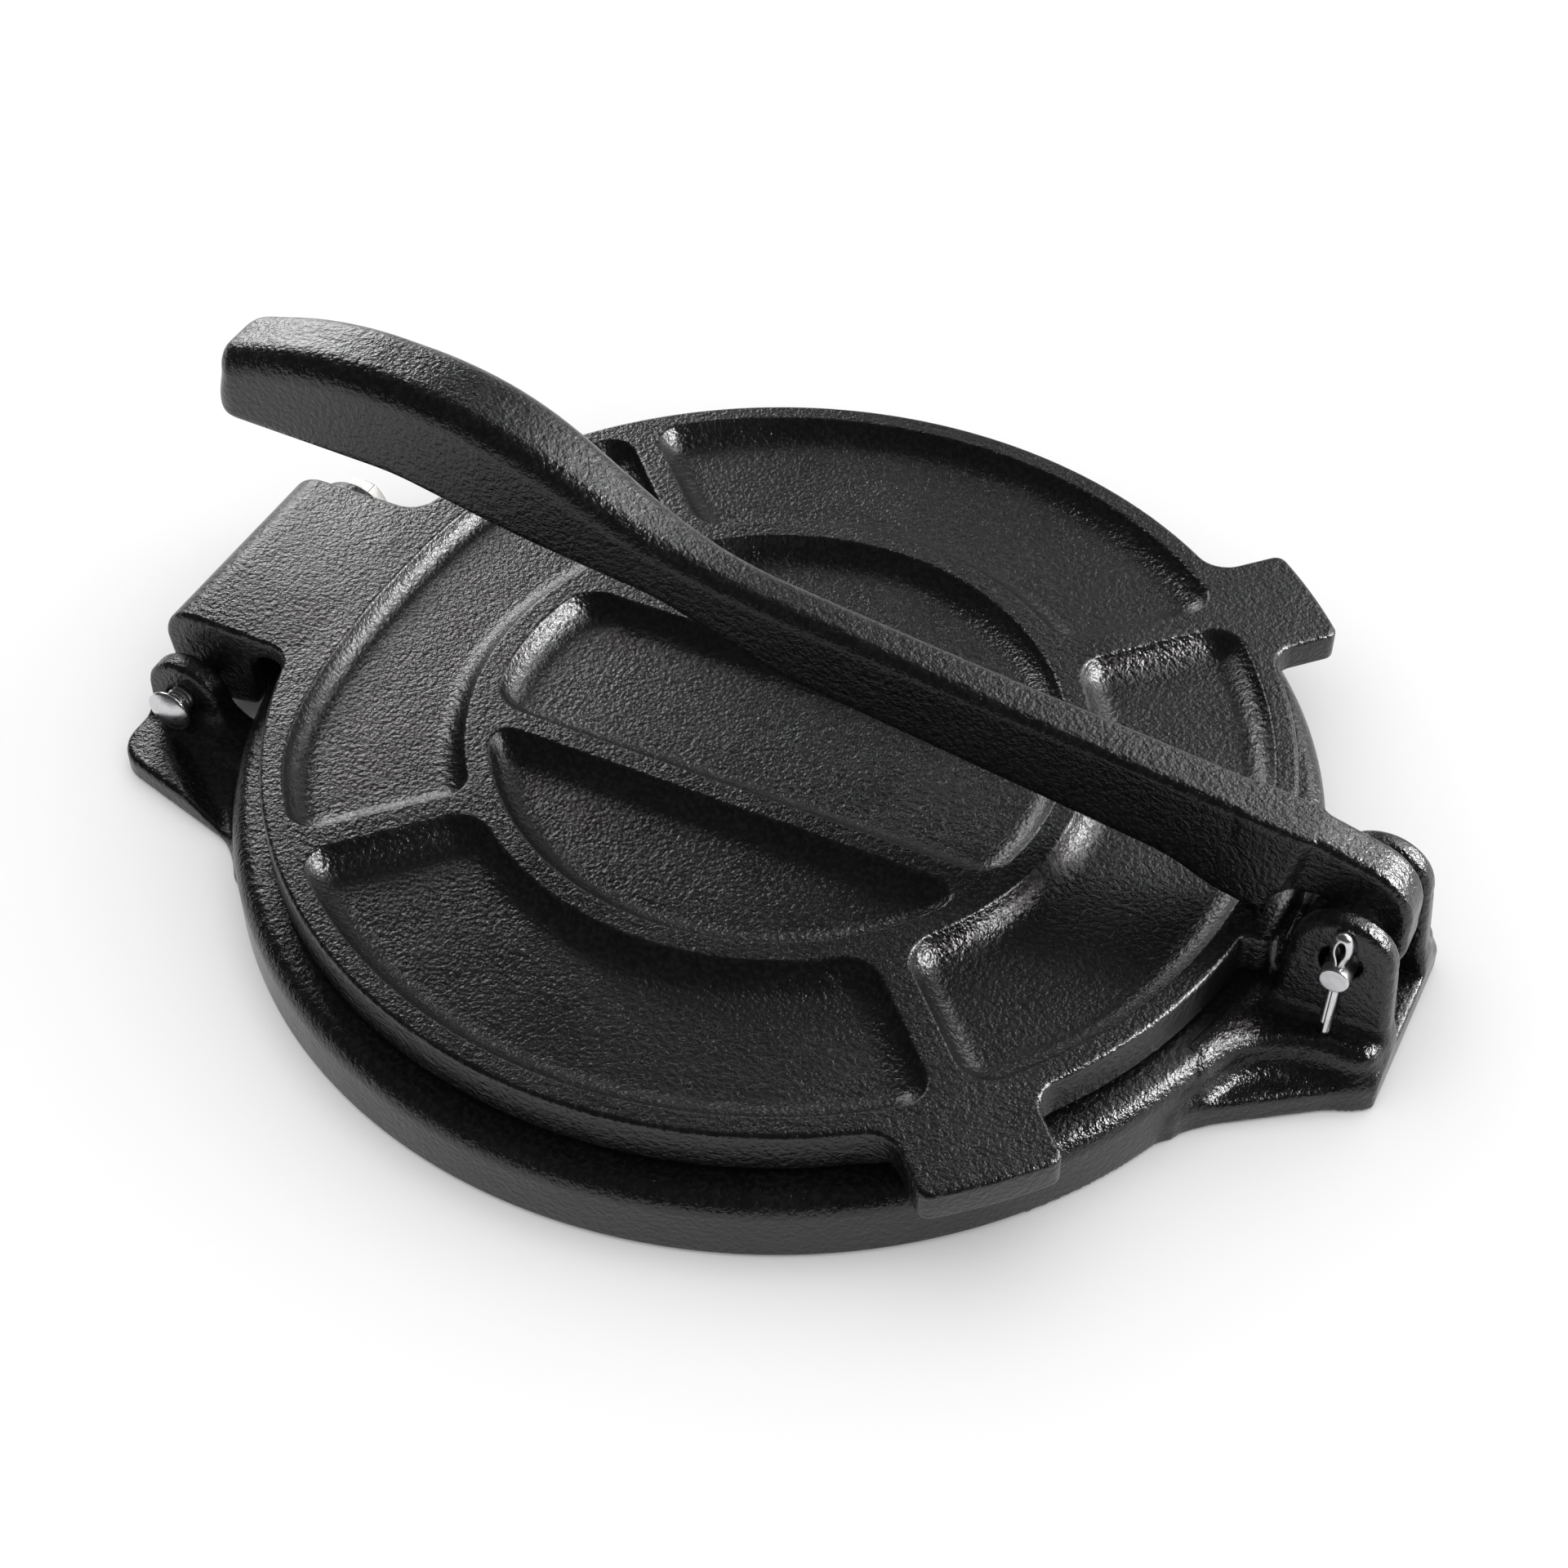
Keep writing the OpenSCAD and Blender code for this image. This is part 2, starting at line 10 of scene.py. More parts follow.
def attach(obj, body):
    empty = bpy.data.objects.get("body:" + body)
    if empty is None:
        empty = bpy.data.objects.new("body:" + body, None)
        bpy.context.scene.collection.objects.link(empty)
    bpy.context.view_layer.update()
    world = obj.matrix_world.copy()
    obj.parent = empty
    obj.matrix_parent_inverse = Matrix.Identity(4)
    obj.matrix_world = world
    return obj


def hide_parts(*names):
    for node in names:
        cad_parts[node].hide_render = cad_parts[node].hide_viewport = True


# A cast iron tortilla press. All lengths below are millimetres until addPiece turns them into metres.
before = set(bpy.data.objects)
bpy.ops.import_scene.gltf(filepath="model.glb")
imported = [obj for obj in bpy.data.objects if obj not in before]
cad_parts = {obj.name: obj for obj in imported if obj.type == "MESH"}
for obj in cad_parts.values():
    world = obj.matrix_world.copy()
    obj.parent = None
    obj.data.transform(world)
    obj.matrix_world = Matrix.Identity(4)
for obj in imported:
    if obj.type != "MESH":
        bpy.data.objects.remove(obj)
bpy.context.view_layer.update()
print("frame loaded")

# ---------------------------------------------------------------- camera

cameraView = {
    "place": (0.18019, -0.36131, 0.41895),  # metres
    "azimuth": 26.363,
    "elevation": 45.472,
    "roll": -0.217,
    "lens": 63.55,
    "sensor": 36.0,
}


def makeCamera(view):
    azimuth, elevation, roll = (math.radians(view[k]) for k in ("azimuth", "elevation", "roll"))
    forward = Vector((-math.sin(azimuth) * math.cos(elevation),
                      math.cos(azimuth) * math.cos(elevation),
                      -math.sin(elevation)))
    level = Vector((math.cos(azimuth), math.sin(azimuth), 0))
    upright = level.cross(forward)
    right = level * math.cos(roll) + upright * math.sin(roll)
    up = upright * math.cos(roll) - level * math.sin(roll)
    data = bpy.data.cameras.new("camera")
    data.lens = view["lens"]
    data.sensor_width = view["sensor"]
    data.clip_start = 0.01
    data.clip_end = 20
    camera = bpy.data.objects.new("camera", data)
    turn = Matrix((right, up, -forward)).transposed().to_4x4()
    camera.matrix_world = Matrix.Translation(view["place"]) @ turn
    bpy.context.scene.collection.objects.link(camera)
    bpy.context.scene.camera = camera


makeCamera(cameraView)

# ---------------------------------------------------------------- sizes shared by the pieces

press = {
    "plateRadius": 105.0,
    "baseRadius": 112.3,
    "baseTop": 15.0,
    "plateBottom": 16.4,
    "plateTop": 26.0,
    "hinge": (-125.5, 10.2),  # x and z of the hinge bolt
    "pivot": (123.2, 27.2),  # x and z of the lever pin
    "pinRadius": 2.95,
}
plateTop = press["plateTop"]
hingeX, hingeZ = press["hinge"]
pivotX, pivotZ = press["pivot"]

# ---------------------------------------------------------------- surface making


def arcPoints(centre, radius, start, stop, spacing=0.3):
    # points on a circle from one angle to another, in degrees, about spacing apart
    count = max(3, int(abs(math.radians(stop - start)) * radius / spacing))
    turn = np.radians(np.linspace(start, stop, count + 1))
    return np.stack([centre[0] + radius * np.cos(turn), centre[1] + radius * np.sin(turn)], 1)


def roundedPath(corners, spacing=0.3):
    # closed outline through corner points given as x, y and corner radius
    table = np.array(corners, float)
    points, radii = table[:, :2], table[:, 2]
    parts = []
    for before, here, after, radius in zip(np.roll(points, 1, 0), points, np.roll(points, -1, 0), radii):
        toBefore = (before - here) / np.linalg.norm(before - here)
        toAfter = (after - here) / np.linalg.norm(after - here)
        half = math.acos(np.clip(toBefore @ toAfter, -1, 1)) / 2
        middle = (toBefore + toAfter) / np.linalg.norm(toBefore + toAfter)
        centre = here + middle * radius / math.sin(half)
        first = here + toBefore * radius / math.tan(half) - centre
        last = here + toAfter * radius / math.tan(half) - centre
        start = math.degrees(math.atan2(first[1], first[0]))
        turn = (math.degrees(math.atan2(last[1], last[0])) - start + 540) % 360 - 180
        parts.append(arcPoints(centre, radius, start, start + turn, spacing))
    return np.concatenate(parts)


def evenPath(points, spacing):
    # the same closed outline with its points evenly spaced
    closed = np.vstack([points, points[:1]])
    lengths = np.linalg.norm(np.diff(closed, axis=0), axis=1)
    keep = np.concatenate([[True], lengths > 1e-9])
    closed, lengths = closed[keep], lengths[lengths > 1e-9]
    along = np.concatenate([[0], np.cumsum(lengths)])
    places = np.linspace(0, along[-1], int(round(along[-1] / spacing)) + 1)[:-1]
    return np.stack([np.interp(places, along, closed[:, k]) for k in (0, 1)], 1)


def inwardNormals(outline):
    # unit normals of a closed counterclockwise outline, pointing to its inside
    step = np.roll(outline, -1, 0) - np.roll(outline, 1, 0)
    normal = np.stack([-step[:, 1], step[:, 0]], 1)
    return normal / np.linalg.norm(normal, axis=1)[:, None]


def insideLoops(points, loops):
    # even-odd rule over all loops, for every point at once
    inside = np.zeros(len(points), bool)
    x, y = points[:, 0][:, None], points[:, 1][:, None]
    for loop in loops:
        x1, y1 = loop[:, 0][None], loop[:, 1][None]
        x2, y2 = np.roll(loop, -1, 0).T[:, None]
        crosses = (y1 > y) != (y2 > y)
        reach = x1 + (y - y1) * (x2 - x1) / np.where(y2 == y1, 1e-12, y2 - y1)
        inside ^= (crosses & (x < reach)).sum(1) % 2 == 1
    return inside


def fillLoops(loops):
    # flat triangles between closed loops, which may lie inside each other
    points = np.vstack(loops)
    edges, first = [], 0
    for loop in loops:
        ring = np.arange(len(loop)) + first
        edges += np.stack([ring, np.roll(ring, -1)], 1).tolist()
        first += len(loop)
    flat, _, faces, _, _, _ = delaunay_2d_cdt([Vector(p) for p in points.tolist()], edges, [], 0, 1e-7)
    flat = np.array([tuple(p) for p in flat])
    faces = np.array([list(f) for f in faces])
    return flat, faces[insideLoops(flat[faces].mean(1), loops)]


def gridFaces(rows, columns, closedRows=True, closedColumns=False):
    # quads of a grid of points; rows run round an outline and columns along its profile
    i = np.arange(rows if closedRows else rows - 1)[:, None]
    j = np.arange(columns if closedColumns else columns - 1)[None]
    i2, j2 = (i + 1) % rows, (j + 1) % columns
    return np.stack([i * columns + j, i2 * columns + j, i2 * columns + j2, i * columns + j2], -1).reshape(-1, 4)


class Shell:
    # collects grids and flat fills, then welds them into one closed mesh

    def __init__(self):
        self.points, self.faces, self.total = [], [], 0

    def add(self, points, faces):
        points = np.asarray(points, float).reshape(-1, 3)
        self.points.append(points)
        self.faces.append(np.asarray(faces) + self.total)
        self.total += len(points)

    def addGrid(self, grid, closedRows=True, closedColumns=False, flip=False):
        faces = gridFaces(grid.shape[0], grid.shape[1], closedRows, closedColumns)
        self.add(grid, faces[:, ::-1] if flip else faces)

    def addFill(self, loops, z, down=False, toSpace=None):
        flat, faces = fillLoops(loops)
        spots = np.column_stack([flat, np.full(len(flat), z)])
        self.add(toSpace(spots) if toSpace else spots, faces[:, ::-1] if down else faces)


def addPiece(name, shell, material, body, nodes=(), weld=2e-7, autoNormals=False):
    # one object at the origin, its place in its mesh, in metres
    mesh = bpy.data.meshes.new(name)
    points = np.vstack(shell.points) * 0.001
    polygons = [f for f in shell.faces if len(f)]
    sizes = np.concatenate([np.full(len(f), f.shape[1]) for f in polygons])
    corners = np.concatenate([f.reshape(-1) for f in polygons])
    mesh.vertices.add(len(points))
    mesh.vertices.foreach_set("co", points.astype(np.float32).reshape(-1))
    mesh.loops.add(len(corners))
    mesh.loops.foreach_set("vertex_index", corners.astype(np.int32))
    mesh.polygons.add(len(sizes))
    mesh.polygons.foreach_set("loop_start", (np.cumsum(sizes) - sizes).astype(np.int32))
    mesh.update(calc_edges=True)
    mesh.validate()
    if weld:
        work = bmesh.new()
        work.from_mesh(mesh)
        bmesh.ops.remove_doubles(work, verts=work.verts, dist=weld)
        if autoNormals:
            bmesh.ops.recalc_face_normals(work, faces=work.faces)
        work.to_mesh(mesh)
        work.free()
    mesh.polygons.foreach_set("use_smooth", np.ones(len(mesh.polygons), bool))
    mesh.materials.append(material)
    piece = bpy.data.objects.new(name, mesh)
    bpy.context.scene.collection.objects.link(piece)
    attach(piece, body)
    if nodes:
        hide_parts(*nodes)
    triangles = sum(len(p.vertices) - 2 for p in mesh.polygons)
    print(f"{name}: {triangles} triangles")
    return piece


# ---------------------------------------------------------------- solids that melt into each other
# A form is a field over a box of space: the distance to its surface, negative inside.


def roundJoin(a, b, radius):
    # union with a fillet of that radius in the corner between the two forms
    u, v = np.maximum(radius - a, 0), np.maximum(radius - b, 0)
    return np.maximum(radius, np.minimum(a, b)) - np.hypot(u, v)


def roundMeet(a, b, radius):
    # intersection with its edge rounded to that radius
    u, v = np.maximum(radius + a, 0), np.maximum(radius + b, 0)
    return np.minimum(-radius, np.maximum(a, b)) + np.hypot(u, v)


def outlineDistance(x, y, outline):
    # signed distance from points of a plane to a closed outline
    points = np.stack([np.ravel(x), np.ravel(y)], 1)
    best = np.full(len(points), np.inf)
    for a, b in zip(outline, np.roll(outline, -1, 0)):
        side = b - a
        length = side @ side
        if length < 1e-12:
            continue
        t = np.clip(((points - a) @ side) / length, 0, 1)
        best = np.minimum(best, ((points - a - t[:, None] * side) ** 2).sum(1))
    best = np.sqrt(best)
    return np.where(insideLoops(points, [outline]), -best, best).reshape(np.shape(x))


def spaceGrid(low, high, step):
    axes = [np.arange(a, b + step, step) for a, b in zip(low, high)]
    return axes, (axes[0][:, None, None], axes[1][None, :, None], axes[2][None, None, :])


def fieldSurface(field, axes):
    # a point in each cell that the surface crosses, at the mean of its crossings, and a quad round each crossed edge
    inside = field < 0
    cells = tuple(n - 1 for n in field.shape)
    total = np.zeros(cells + (3,), np.float32)
    count = np.zeros(cells, np.int16)
    crossings = []
    for axis in range(3):
        low = [slice(None)] * 3
        high = [slice(None)] * 3
        low[axis], high[axis] = slice(None, -1), slice(1, None)
        a, b = field[tuple(low)], field[tuple(high)]
        crossed = inside[tuple(low)] != inside[tuple(high)]
        t = np.where(crossed, a / np.where(crossed, a - b, 1), 0)
        crossings.append((crossed, inside[tuple(low)]))
        others = [k for k in range(3) if k != axis]
        for da in (0, 1):
            for db in (0, 1):
                cut = [slice(None)] * 3
                cut[others[0]] = slice(da, da + cells[others[0]])
                cut[others[1]] = slice(db, db + cells[others[1]])
                part = crossed[tuple(cut)]
                total[..., axis] += np.where(part, t[tuple(cut)], 0)
                total[..., others[0]] += part * da
                total[..., others[1]] += part * db
                count += part
    used = count > 0
    number = np.full(cells, -1)
    number[used] = np.arange(used.sum())
    where = np.argwhere(used)
    local = total[used] / count[used][:, None] + where
    start = np.array([a[0] for a in axes])
    step = np.array([a[1] - a[0] for a in axes])
    points = start + local * step
    faces = []
    for axis in range(3):
        crossed, lowInside = crossings[axis]
        b, c = (axis + 1) % 3, (axis + 2) % 3
        spots = np.argwhere(crossed)
        solid = lowInside[crossed]
        good = (spots[:, b] > 0) & (spots[:, c] > 0) & (spots[:, b] < cells[b]) & (spots[:, c] < cells[c])
        spots, solid = spots[good], solid[good]
        ring = []
        for db, dc in ((1, 1), (0, 1), (0, 0), (1, 0)):
            cell = spots.copy()
            cell[:, b] -= db
            cell[:, c] -= dc
            ring.append(number[tuple(cell.T)])
        quad = np.stack(ring, 1)
        faces.append(np.where(solid[:, None], quad, quad[:, ::-1]))
    return points, np.concatenate(faces)


# ---------------------------------------------------------------- materials


def newMaterial(name):
    material = bpy.data.materials.new(name)
    material.use_nodes = True
    return material, material.node_tree, material.node_tree.nodes["Principled BSDF"]


def makeNode(tree, kind, **settings):
    node = tree.nodes.new(kind)
    for key, value in settings.items():
        if hasattr(node, key):
            setattr(node, key, value)
        else:
            node.inputs[key.replace("_", " ")].default_value = value
    return node


def castIron(name, look):
    # seasoned cast iron: grains, shallow pits and slow waves as bump, with patchy gloss
    material, tree, shader = newMaterial(name)
    link = tree.links.new
    where = makeNode(tree, "ShaderNodeTexCoord").outputs["Object"]

    def noise(scale, detail, rough=0.5):
        node = makeNode(tree, "ShaderNodeTexNoise", Scale=scale, Detail=detail, Roughness=rough)
        link(where, node.inputs["Vector"])
        return node.outputs["Fac"]

    def ramp(value, low, high, dark, light):
        node = makeNode(tree, "ShaderNodeMapRange", interpolation_type="SMOOTHSTEP")
        for key, number in zip(("From Min", "From Max", "To Min", "To Max"), (low, high, dark, light)):
            node.inputs[key].default_value = number
        link(value, node.inputs["Value"])
        return node.outputs["Result"]

    def bump(height, distance, strength, under=None):
        node = makeNode(tree, "ShaderNodeBump", Distance=distance, Strength=strength)
        link(height, node.inputs["Height"])
        if under:
            link(under, node.inputs["Normal"])
        return node.outputs["Normal"]

    grain = noise(look["grainScale"], 3.0, 0.6)
    fine = noise(look["fineScale"], 2.0, 0.6)
    waves = noise(look["waveScale"], 2.0)
    pits = makeNode(tree, "ShaderNodeTexVoronoi", Scale=look["pitScale"], feature="SMOOTH_F1")
    link(where, pits.inputs["Vector"])
    patches = noise(look["patchScale"], 4.0, 0.6)

    normal = bump(waves, look["waveDepth"], 0.6)
    normal = bump(grain, look["grainDepth"], look["grainStrength"], normal)
    normal = bump(pits.outputs["Distance"], look["pitDepth"], look["pitStrength"], normal)
    normal = bump(fine, look["fineDepth"], look["fineStrength"], normal)
    link(normal, shader.inputs["Normal"])
    link(ramp(patches, 0.35, 0.7, look["glossy"], look["dull"]), shader.inputs["Roughness"])

    mix = makeNode(tree, "ShaderNodeMix", data_type="RGBA")
    mix.inputs["A"].default_value = (*look["dark"], 1)
    mix.inputs["B"].default_value = (*look["light"], 1)
    link(ramp(grain, 0.42, 0.66, 0.0, 1.0), mix.inputs["Factor"])
    link(mix.outputs["Result"], shader.inputs["Base Color"])
    shader.inputs["Specular IOR Level"].default_value = look["specular"]
    return material


def brightZinc(name, look):
    # zinc plated steel: a clear mirror broken by faint rolling marks and dull spots
    material, tree, shader = newMaterial(name)
    link = tree.links.new
    where = makeNode(tree, "ShaderNodeTexCoord").outputs["Object"]
    cloud = makeNode(tree, "ShaderNodeTexNoise", Scale=look["cloudScale"], Detail=3.0)
    link(where, cloud.inputs["Vector"])
    fine = makeNode(tree, "ShaderNodeTexNoise", Scale=look["fineScale"], Detail=2.0)
    link(where, fine.inputs["Vector"])
    rough = makeNode(tree, "ShaderNodeMapRange")
    for key, number in zip(("From Min", "From Max", "To Min", "To Max"), (0.3, 0.7, look["clear"], look["dull"])):
        rough.inputs[key].default_value = number
    link(cloud.outputs["Fac"], rough.inputs["Value"])
    link(rough.outputs["Result"], shader.inputs["Roughness"])
    bump = makeNode(tree, "ShaderNodeBump", Distance=look["depth"], Strength=0.5)
    link(fine.outputs["Fac"], bump.inputs["Height"])
    link(bump.outputs["Normal"], shader.inputs["Normal"])
    mix = makeNode(tree, "ShaderNodeMix", data_type="RGBA")
    mix.inputs["A"].default_value = (*look["colour"], 1)
    mix.inputs["B"].default_value = (*look["shade"], 1)
    link(cloud.outputs["Fac"], mix.inputs["Factor"])
    link(mix.outputs["Result"], shader.inputs["Base Color"])
    shader.inputs["Metallic"].default_value = 1.0
    return material


ironLook = {
    "dark": (0.0030, 0.0027, 0.0029), "light": (0.0075, 0.0069, 0.0072),
    "specular": 0.5, "glossy": 0.19, "dull": 0.26,
    "grainScale": 920.0, "grainDepth": 0.00035, "grainStrength": 1.0,
    "fineScale": 2400.0, "fineDepth": 0.00004, "fineStrength": 1.0,
    "waveScale": 90.0, "waveDepth": 0.0003,
    "pitScale": 800.0, "pitDepth": 0.00006, "pitStrength": 0.5,
    "patchScale": 60.0,
}
plateIron = castIron("plate_iron", ironLook)
baseIron = castIron("base_iron", ironLook)
leverIron = castIron("lever_iron", ironLook)
zincLook = {
    "colour": (0.72, 0.72, 0.73), "shade": (0.55, 0.55, 0.57), "clear": 0.2, "dull": 0.34,
    "cloudScale": 300.0, "fineScale": 2500.0, "depth": 0.00003,
}
# painted shade: the nut gets a darker copy of the bolt's zinc, so it mirrors the lamps less brightly than the bolt
nutPaintedShadeLook = dict(zincLook, colour=(0.36, 0.35, 0.34), shade=(0.26, 0.255, 0.245), clear=0.3, dull=0.42)
boltZinc = brightZinc("bolt_zinc", zincLook)
nutPaintedShadeZinc = brightZinc("nut_zinc", nutPaintedShadeLook)
pinZinc = brightZinc("pin_zinc", zincLook)
print("materials made")

# ---------------------------------------------------------------- top plate

plateShape = {
    "tabAngle": 45.5, "tabRadius": 120.8, "tabHalf": 13.6, "tabCorner": 2.5, "tabRoot": 6.5, "tabThick": 7.0,
    "noseEnd": 110.0, "noseHalf": 12.5, "noseCorner": 4.0, "noseRoot": 2.0, "noseEdge": 2.6,
    "lugHalf": 25.72, "lugRoot": 6.5, "lugThick": 4.6, "tongueEnd": 114.0,
    "edge": 1.0, "lowerEdge": 0.8, "spacing": 0.8,
    "pocketDepth": 4.2, "pocketEdge": 0.9, "pocketRoot": 7.0, "wallSlope": 62.0, "pocketSpacing": 0.75,
    "rootSpacing": 1.0, "bandCorner": 6.5, "segmentCorner": 7.4,
    "rimRadius": 100.8, "ringOuter": 63.3, "ringInner": 59.4, "bandHalf": 20.4, "ribWidth": 3.9,
    "spokeHalf": 2.35, "flatCut": 97.0,
}


def rootCircle(disc, half, radius):
    # centre of the concave corner between a disc and the line y = half
    return np.array([math.sqrt((disc + radius) ** 2 - (half + radius) ** 2), half + radius])


def angleOf(point):
    return math.degrees(math.atan2(point[1], point[0]))


def turned(points, degrees):
    c, s = math.cos(math.radians(degrees)), math.sin(math.radians(degrees))
    return points @ np.array([[c, s], [-s, c]])


def plateOutline(s):
    # the upper half from the nose to the lug, then its mirror image; each point knows its part
    disc = press["plateRadius"]
    noseC = np.array([s["noseEnd"] - s["noseCorner"], s["noseHalf"] - s["noseCorner"]])
    noseR = rootCircle(disc, s["noseHalf"], s["noseRoot"])
    tabC = np.array([math.sqrt((s["tabRadius"] - s["tabCorner"]) ** 2 - (s["tabHalf"] - s["tabCorner"]) ** 2),
                     s["tabHalf"] - s["tabCorner"]])
    tabR = rootCircle(disc, s["tabHalf"], s["tabRoot"])
    lugR = rootCircle(disc, s["lugHalf"], s["lugRoot"])
    flip = np.array([1, -1])
    tabSide = np.concatenate([
        arcPoints((0, 0), s["tabRadius"], 0, angleOf(tabC)),
        arcPoints(tabC, s["tabCorner"], angleOf(tabC), 90, 0.15),
        arcPoints(tabR, s["tabRoot"], 270, angleOf(tabR) + 180)])
    tab = turned(np.concatenate([(tabSide * flip)[::-1], tabSide]), s["tabAngle"])
    lugSide = np.concatenate([
        arcPoints(lugR, s["lugRoot"], 270, angleOf(lugR) + 180)[::-1],
        [[s["tongueEnd"], s["lugHalf"]], [s["tongueEnd"], 0]]]) * np.array([-1, 1])
    upper = np.concatenate([
        [[s["noseEnd"], 0]],
        arcPoints(noseC, s["noseCorner"], 0, 90, 0.2),
        arcPoints(noseR, s["noseRoot"], 270, angleOf(noseR) + 180, 0.2),
        arcPoints((0, 0), disc, angleOf(noseR), s["tabAngle"] - angleOf(tabR)),
        tab,
        arcPoints((0, 0), disc, s["tabAngle"] + angleOf(tabR), 180 - angleOf(lugR)),
        lugSide])
    return evenPath(np.concatenate([upper, (upper * flip)[::-1][1:-1]]), s["spacing"])


def smooth(value, low, high):
    t = np.clip((value - low) / (high - low), 0, 1)
    return t * t * (3 - 2 * t)


def spokePath(a1, a2, s, outerCorner, innerCorner):
    # the outline of an outer pocket between the spokes at the angles a1 and a2
    gap, rim, ring = s["spokeHalf"], s["rimRadius"], s["ringOuter"]
    alongOut = math.sqrt((rim - outerCorner) ** 2 - (gap + outerCorner) ** 2)
    alongIn = math.sqrt((ring + innerCorner) ** 2 - (gap + innerCorner) ** 2)
    tOut = math.degrees(math.atan2(gap + outerCorner, alongOut))
    tIn = math.degrees(math.atan2(gap + innerCorner, alongIn))

    def centre(angle, side, along, corner):
        u = np.array([math.cos(math.radians(angle)), math.sin(math.radians(angle))])
        return along * u + (gap + corner) * side * np.array([-u[1], u[0]])

    return np.concatenate([
        arcPoints(centre(a1, 1, alongOut, outerCorner), outerCorner, a1 - 90, a1 + tOut),
        arcPoints((0, 0), rim, a1 + tOut, a2 - tOut),
        arcPoints(centre(a2, -1, alongOut, outerCorner), outerCorner, a2 - tOut, a2 + 90),
        arcPoints(centre(a2, -1, alongIn, innerCorner), innerCorner, a2 + 90, a2 - tIn + 180),
        arcPoints((0, 0), ring, a2 - tIn, a1 + tIn),
        arcPoints(centre(a1, 1, alongIn, innerCorner), innerCorner, a1 + tIn + 180, a1 + 270)])


def spokeField(a1, a2, s, outerCorner, innerCorner, flat=None):
    # distance to the walls of that pocket, negative inside it
    u1, u2 = (np.array([math.cos(math.radians(a)), math.sin(math.radians(a))]) for a in (a1, a2))

    def field(p):
        radius = np.hypot(p[:, 0], p[:, 1])
        sides = np.maximum(s["spokeHalf"] - (u1[0] * p[:, 1] - u1[1] * p[:, 0]),
                           s["spokeHalf"] + (u2[0] * p[:, 1] - u2[1] * p[:, 0]))
        outer = radius - s["rimRadius"]
        if flat:
            outer = roundMeet(outer, -flat - p[:, 0], 14.0)
        return np.maximum(roundMeet(outer, sides, outerCorner), roundMeet(s["ringOuter"] - radius, sides, innerCorner))
    return field


def pocketList(s):
    # outline, field and tightest corner of the centre band, the two segments and the four outer pockets
    ring, band = s["ringInner"], s["bandHalf"]
    rb, rs, far = s["bandCorner"], s["segmentCorner"], band + s["ribWidth"]
    c = np.array([math.sqrt((ring - rb) ** 2 - (band - rb) ** 2), band - rb])
    quarter = np.concatenate([arcPoints((0, 0), ring, 0, angleOf(c)), arcPoints(c, rb, angleOf(c), 90)])
    half = np.concatenate([quarter, (quarter * [-1, 1])[::-1]])
    pockets = [(np.concatenate([half, (half * [1, -1])[::-1]]),
                lambda p: roundMeet(np.hypot(p[:, 0], p[:, 1]) - ring, np.abs(p[:, 1]) - band, rb), rb)]
    c = np.array([math.sqrt((ring - rs) ** 2 - (far + rs) ** 2), far + rs])
    b = angleOf(c)
    segment = np.concatenate([arcPoints((0, 0), ring, b, 180 - b), arcPoints(c * [-1, 1], rs, 180 - b, 270),
                              arcPoints(c, rs, 270, 360 + b)])
    for side in (1, -1):
        pockets.append(((segment * [1, side])[::side],
                        lambda p, k=side: roundMeet(np.hypot(p[:, 0], p[:, 1]) - ring, far - k * p[:, 1], rs), rs))
    t = s["tabAngle"]
    for a1, a2, ro, ri, flat in ((t, 180 - t, 7.0, 7.5, None), (180 + t, 360 - t, 7.0, 7.5, None),
                                 (-t, t, 8.0, 7.5, None), (180 - t, 180 + t, 7.0, 5.0, s["flatCut"])):
        pockets.append((spokePath(a1, a2, s, ro, ri), spokeField(a1, a2, s, ro, ri, flat), min(ro, ri)))
    return pockets


def pocketHeight(d, s):
    # height over the rim at the inward distance d: rounded edge, steep wall, wide hollow root, flat floor
    edge, root, depth = s["pocketEdge"], s["pocketRoot"], s["pocketDepth"]
    slope = math.radians(s["wallSlope"])
    wallTop = edge * math.sin(slope)
    drop = depth - (edge + root) * (1 - math.cos(slope))
    wall = drop / math.tan(slope)
    run = wallTop + wall + root * math.sin(slope)
    over = -edge + np.sqrt(np.maximum(edge ** 2 - np.clip(d, 0, wallTop) ** 2, 0))
    onWall = over - np.clip(d - wallTop, 0, wall) * math.tan(slope)
    inRoot = -depth + root - np.sqrt(np.maximum(root ** 2 - np.clip(run - d, 0, root * math.sin(slope)) ** 2, 0))
    return np.where(d < wallTop + wall, onWall, inRoot), run


def slopeOf(field, points, h=0.02):
    # unit direction in which a field of the plane rises
    dx = field(points + [h, 0]) - field(points - [h, 0])
    dy = field(points + [0, h]) - field(points - [0, h])
    grow = np.stack([dx, dy], 1)
    return grow / np.linalg.norm(grow, axis=1)[:, None]


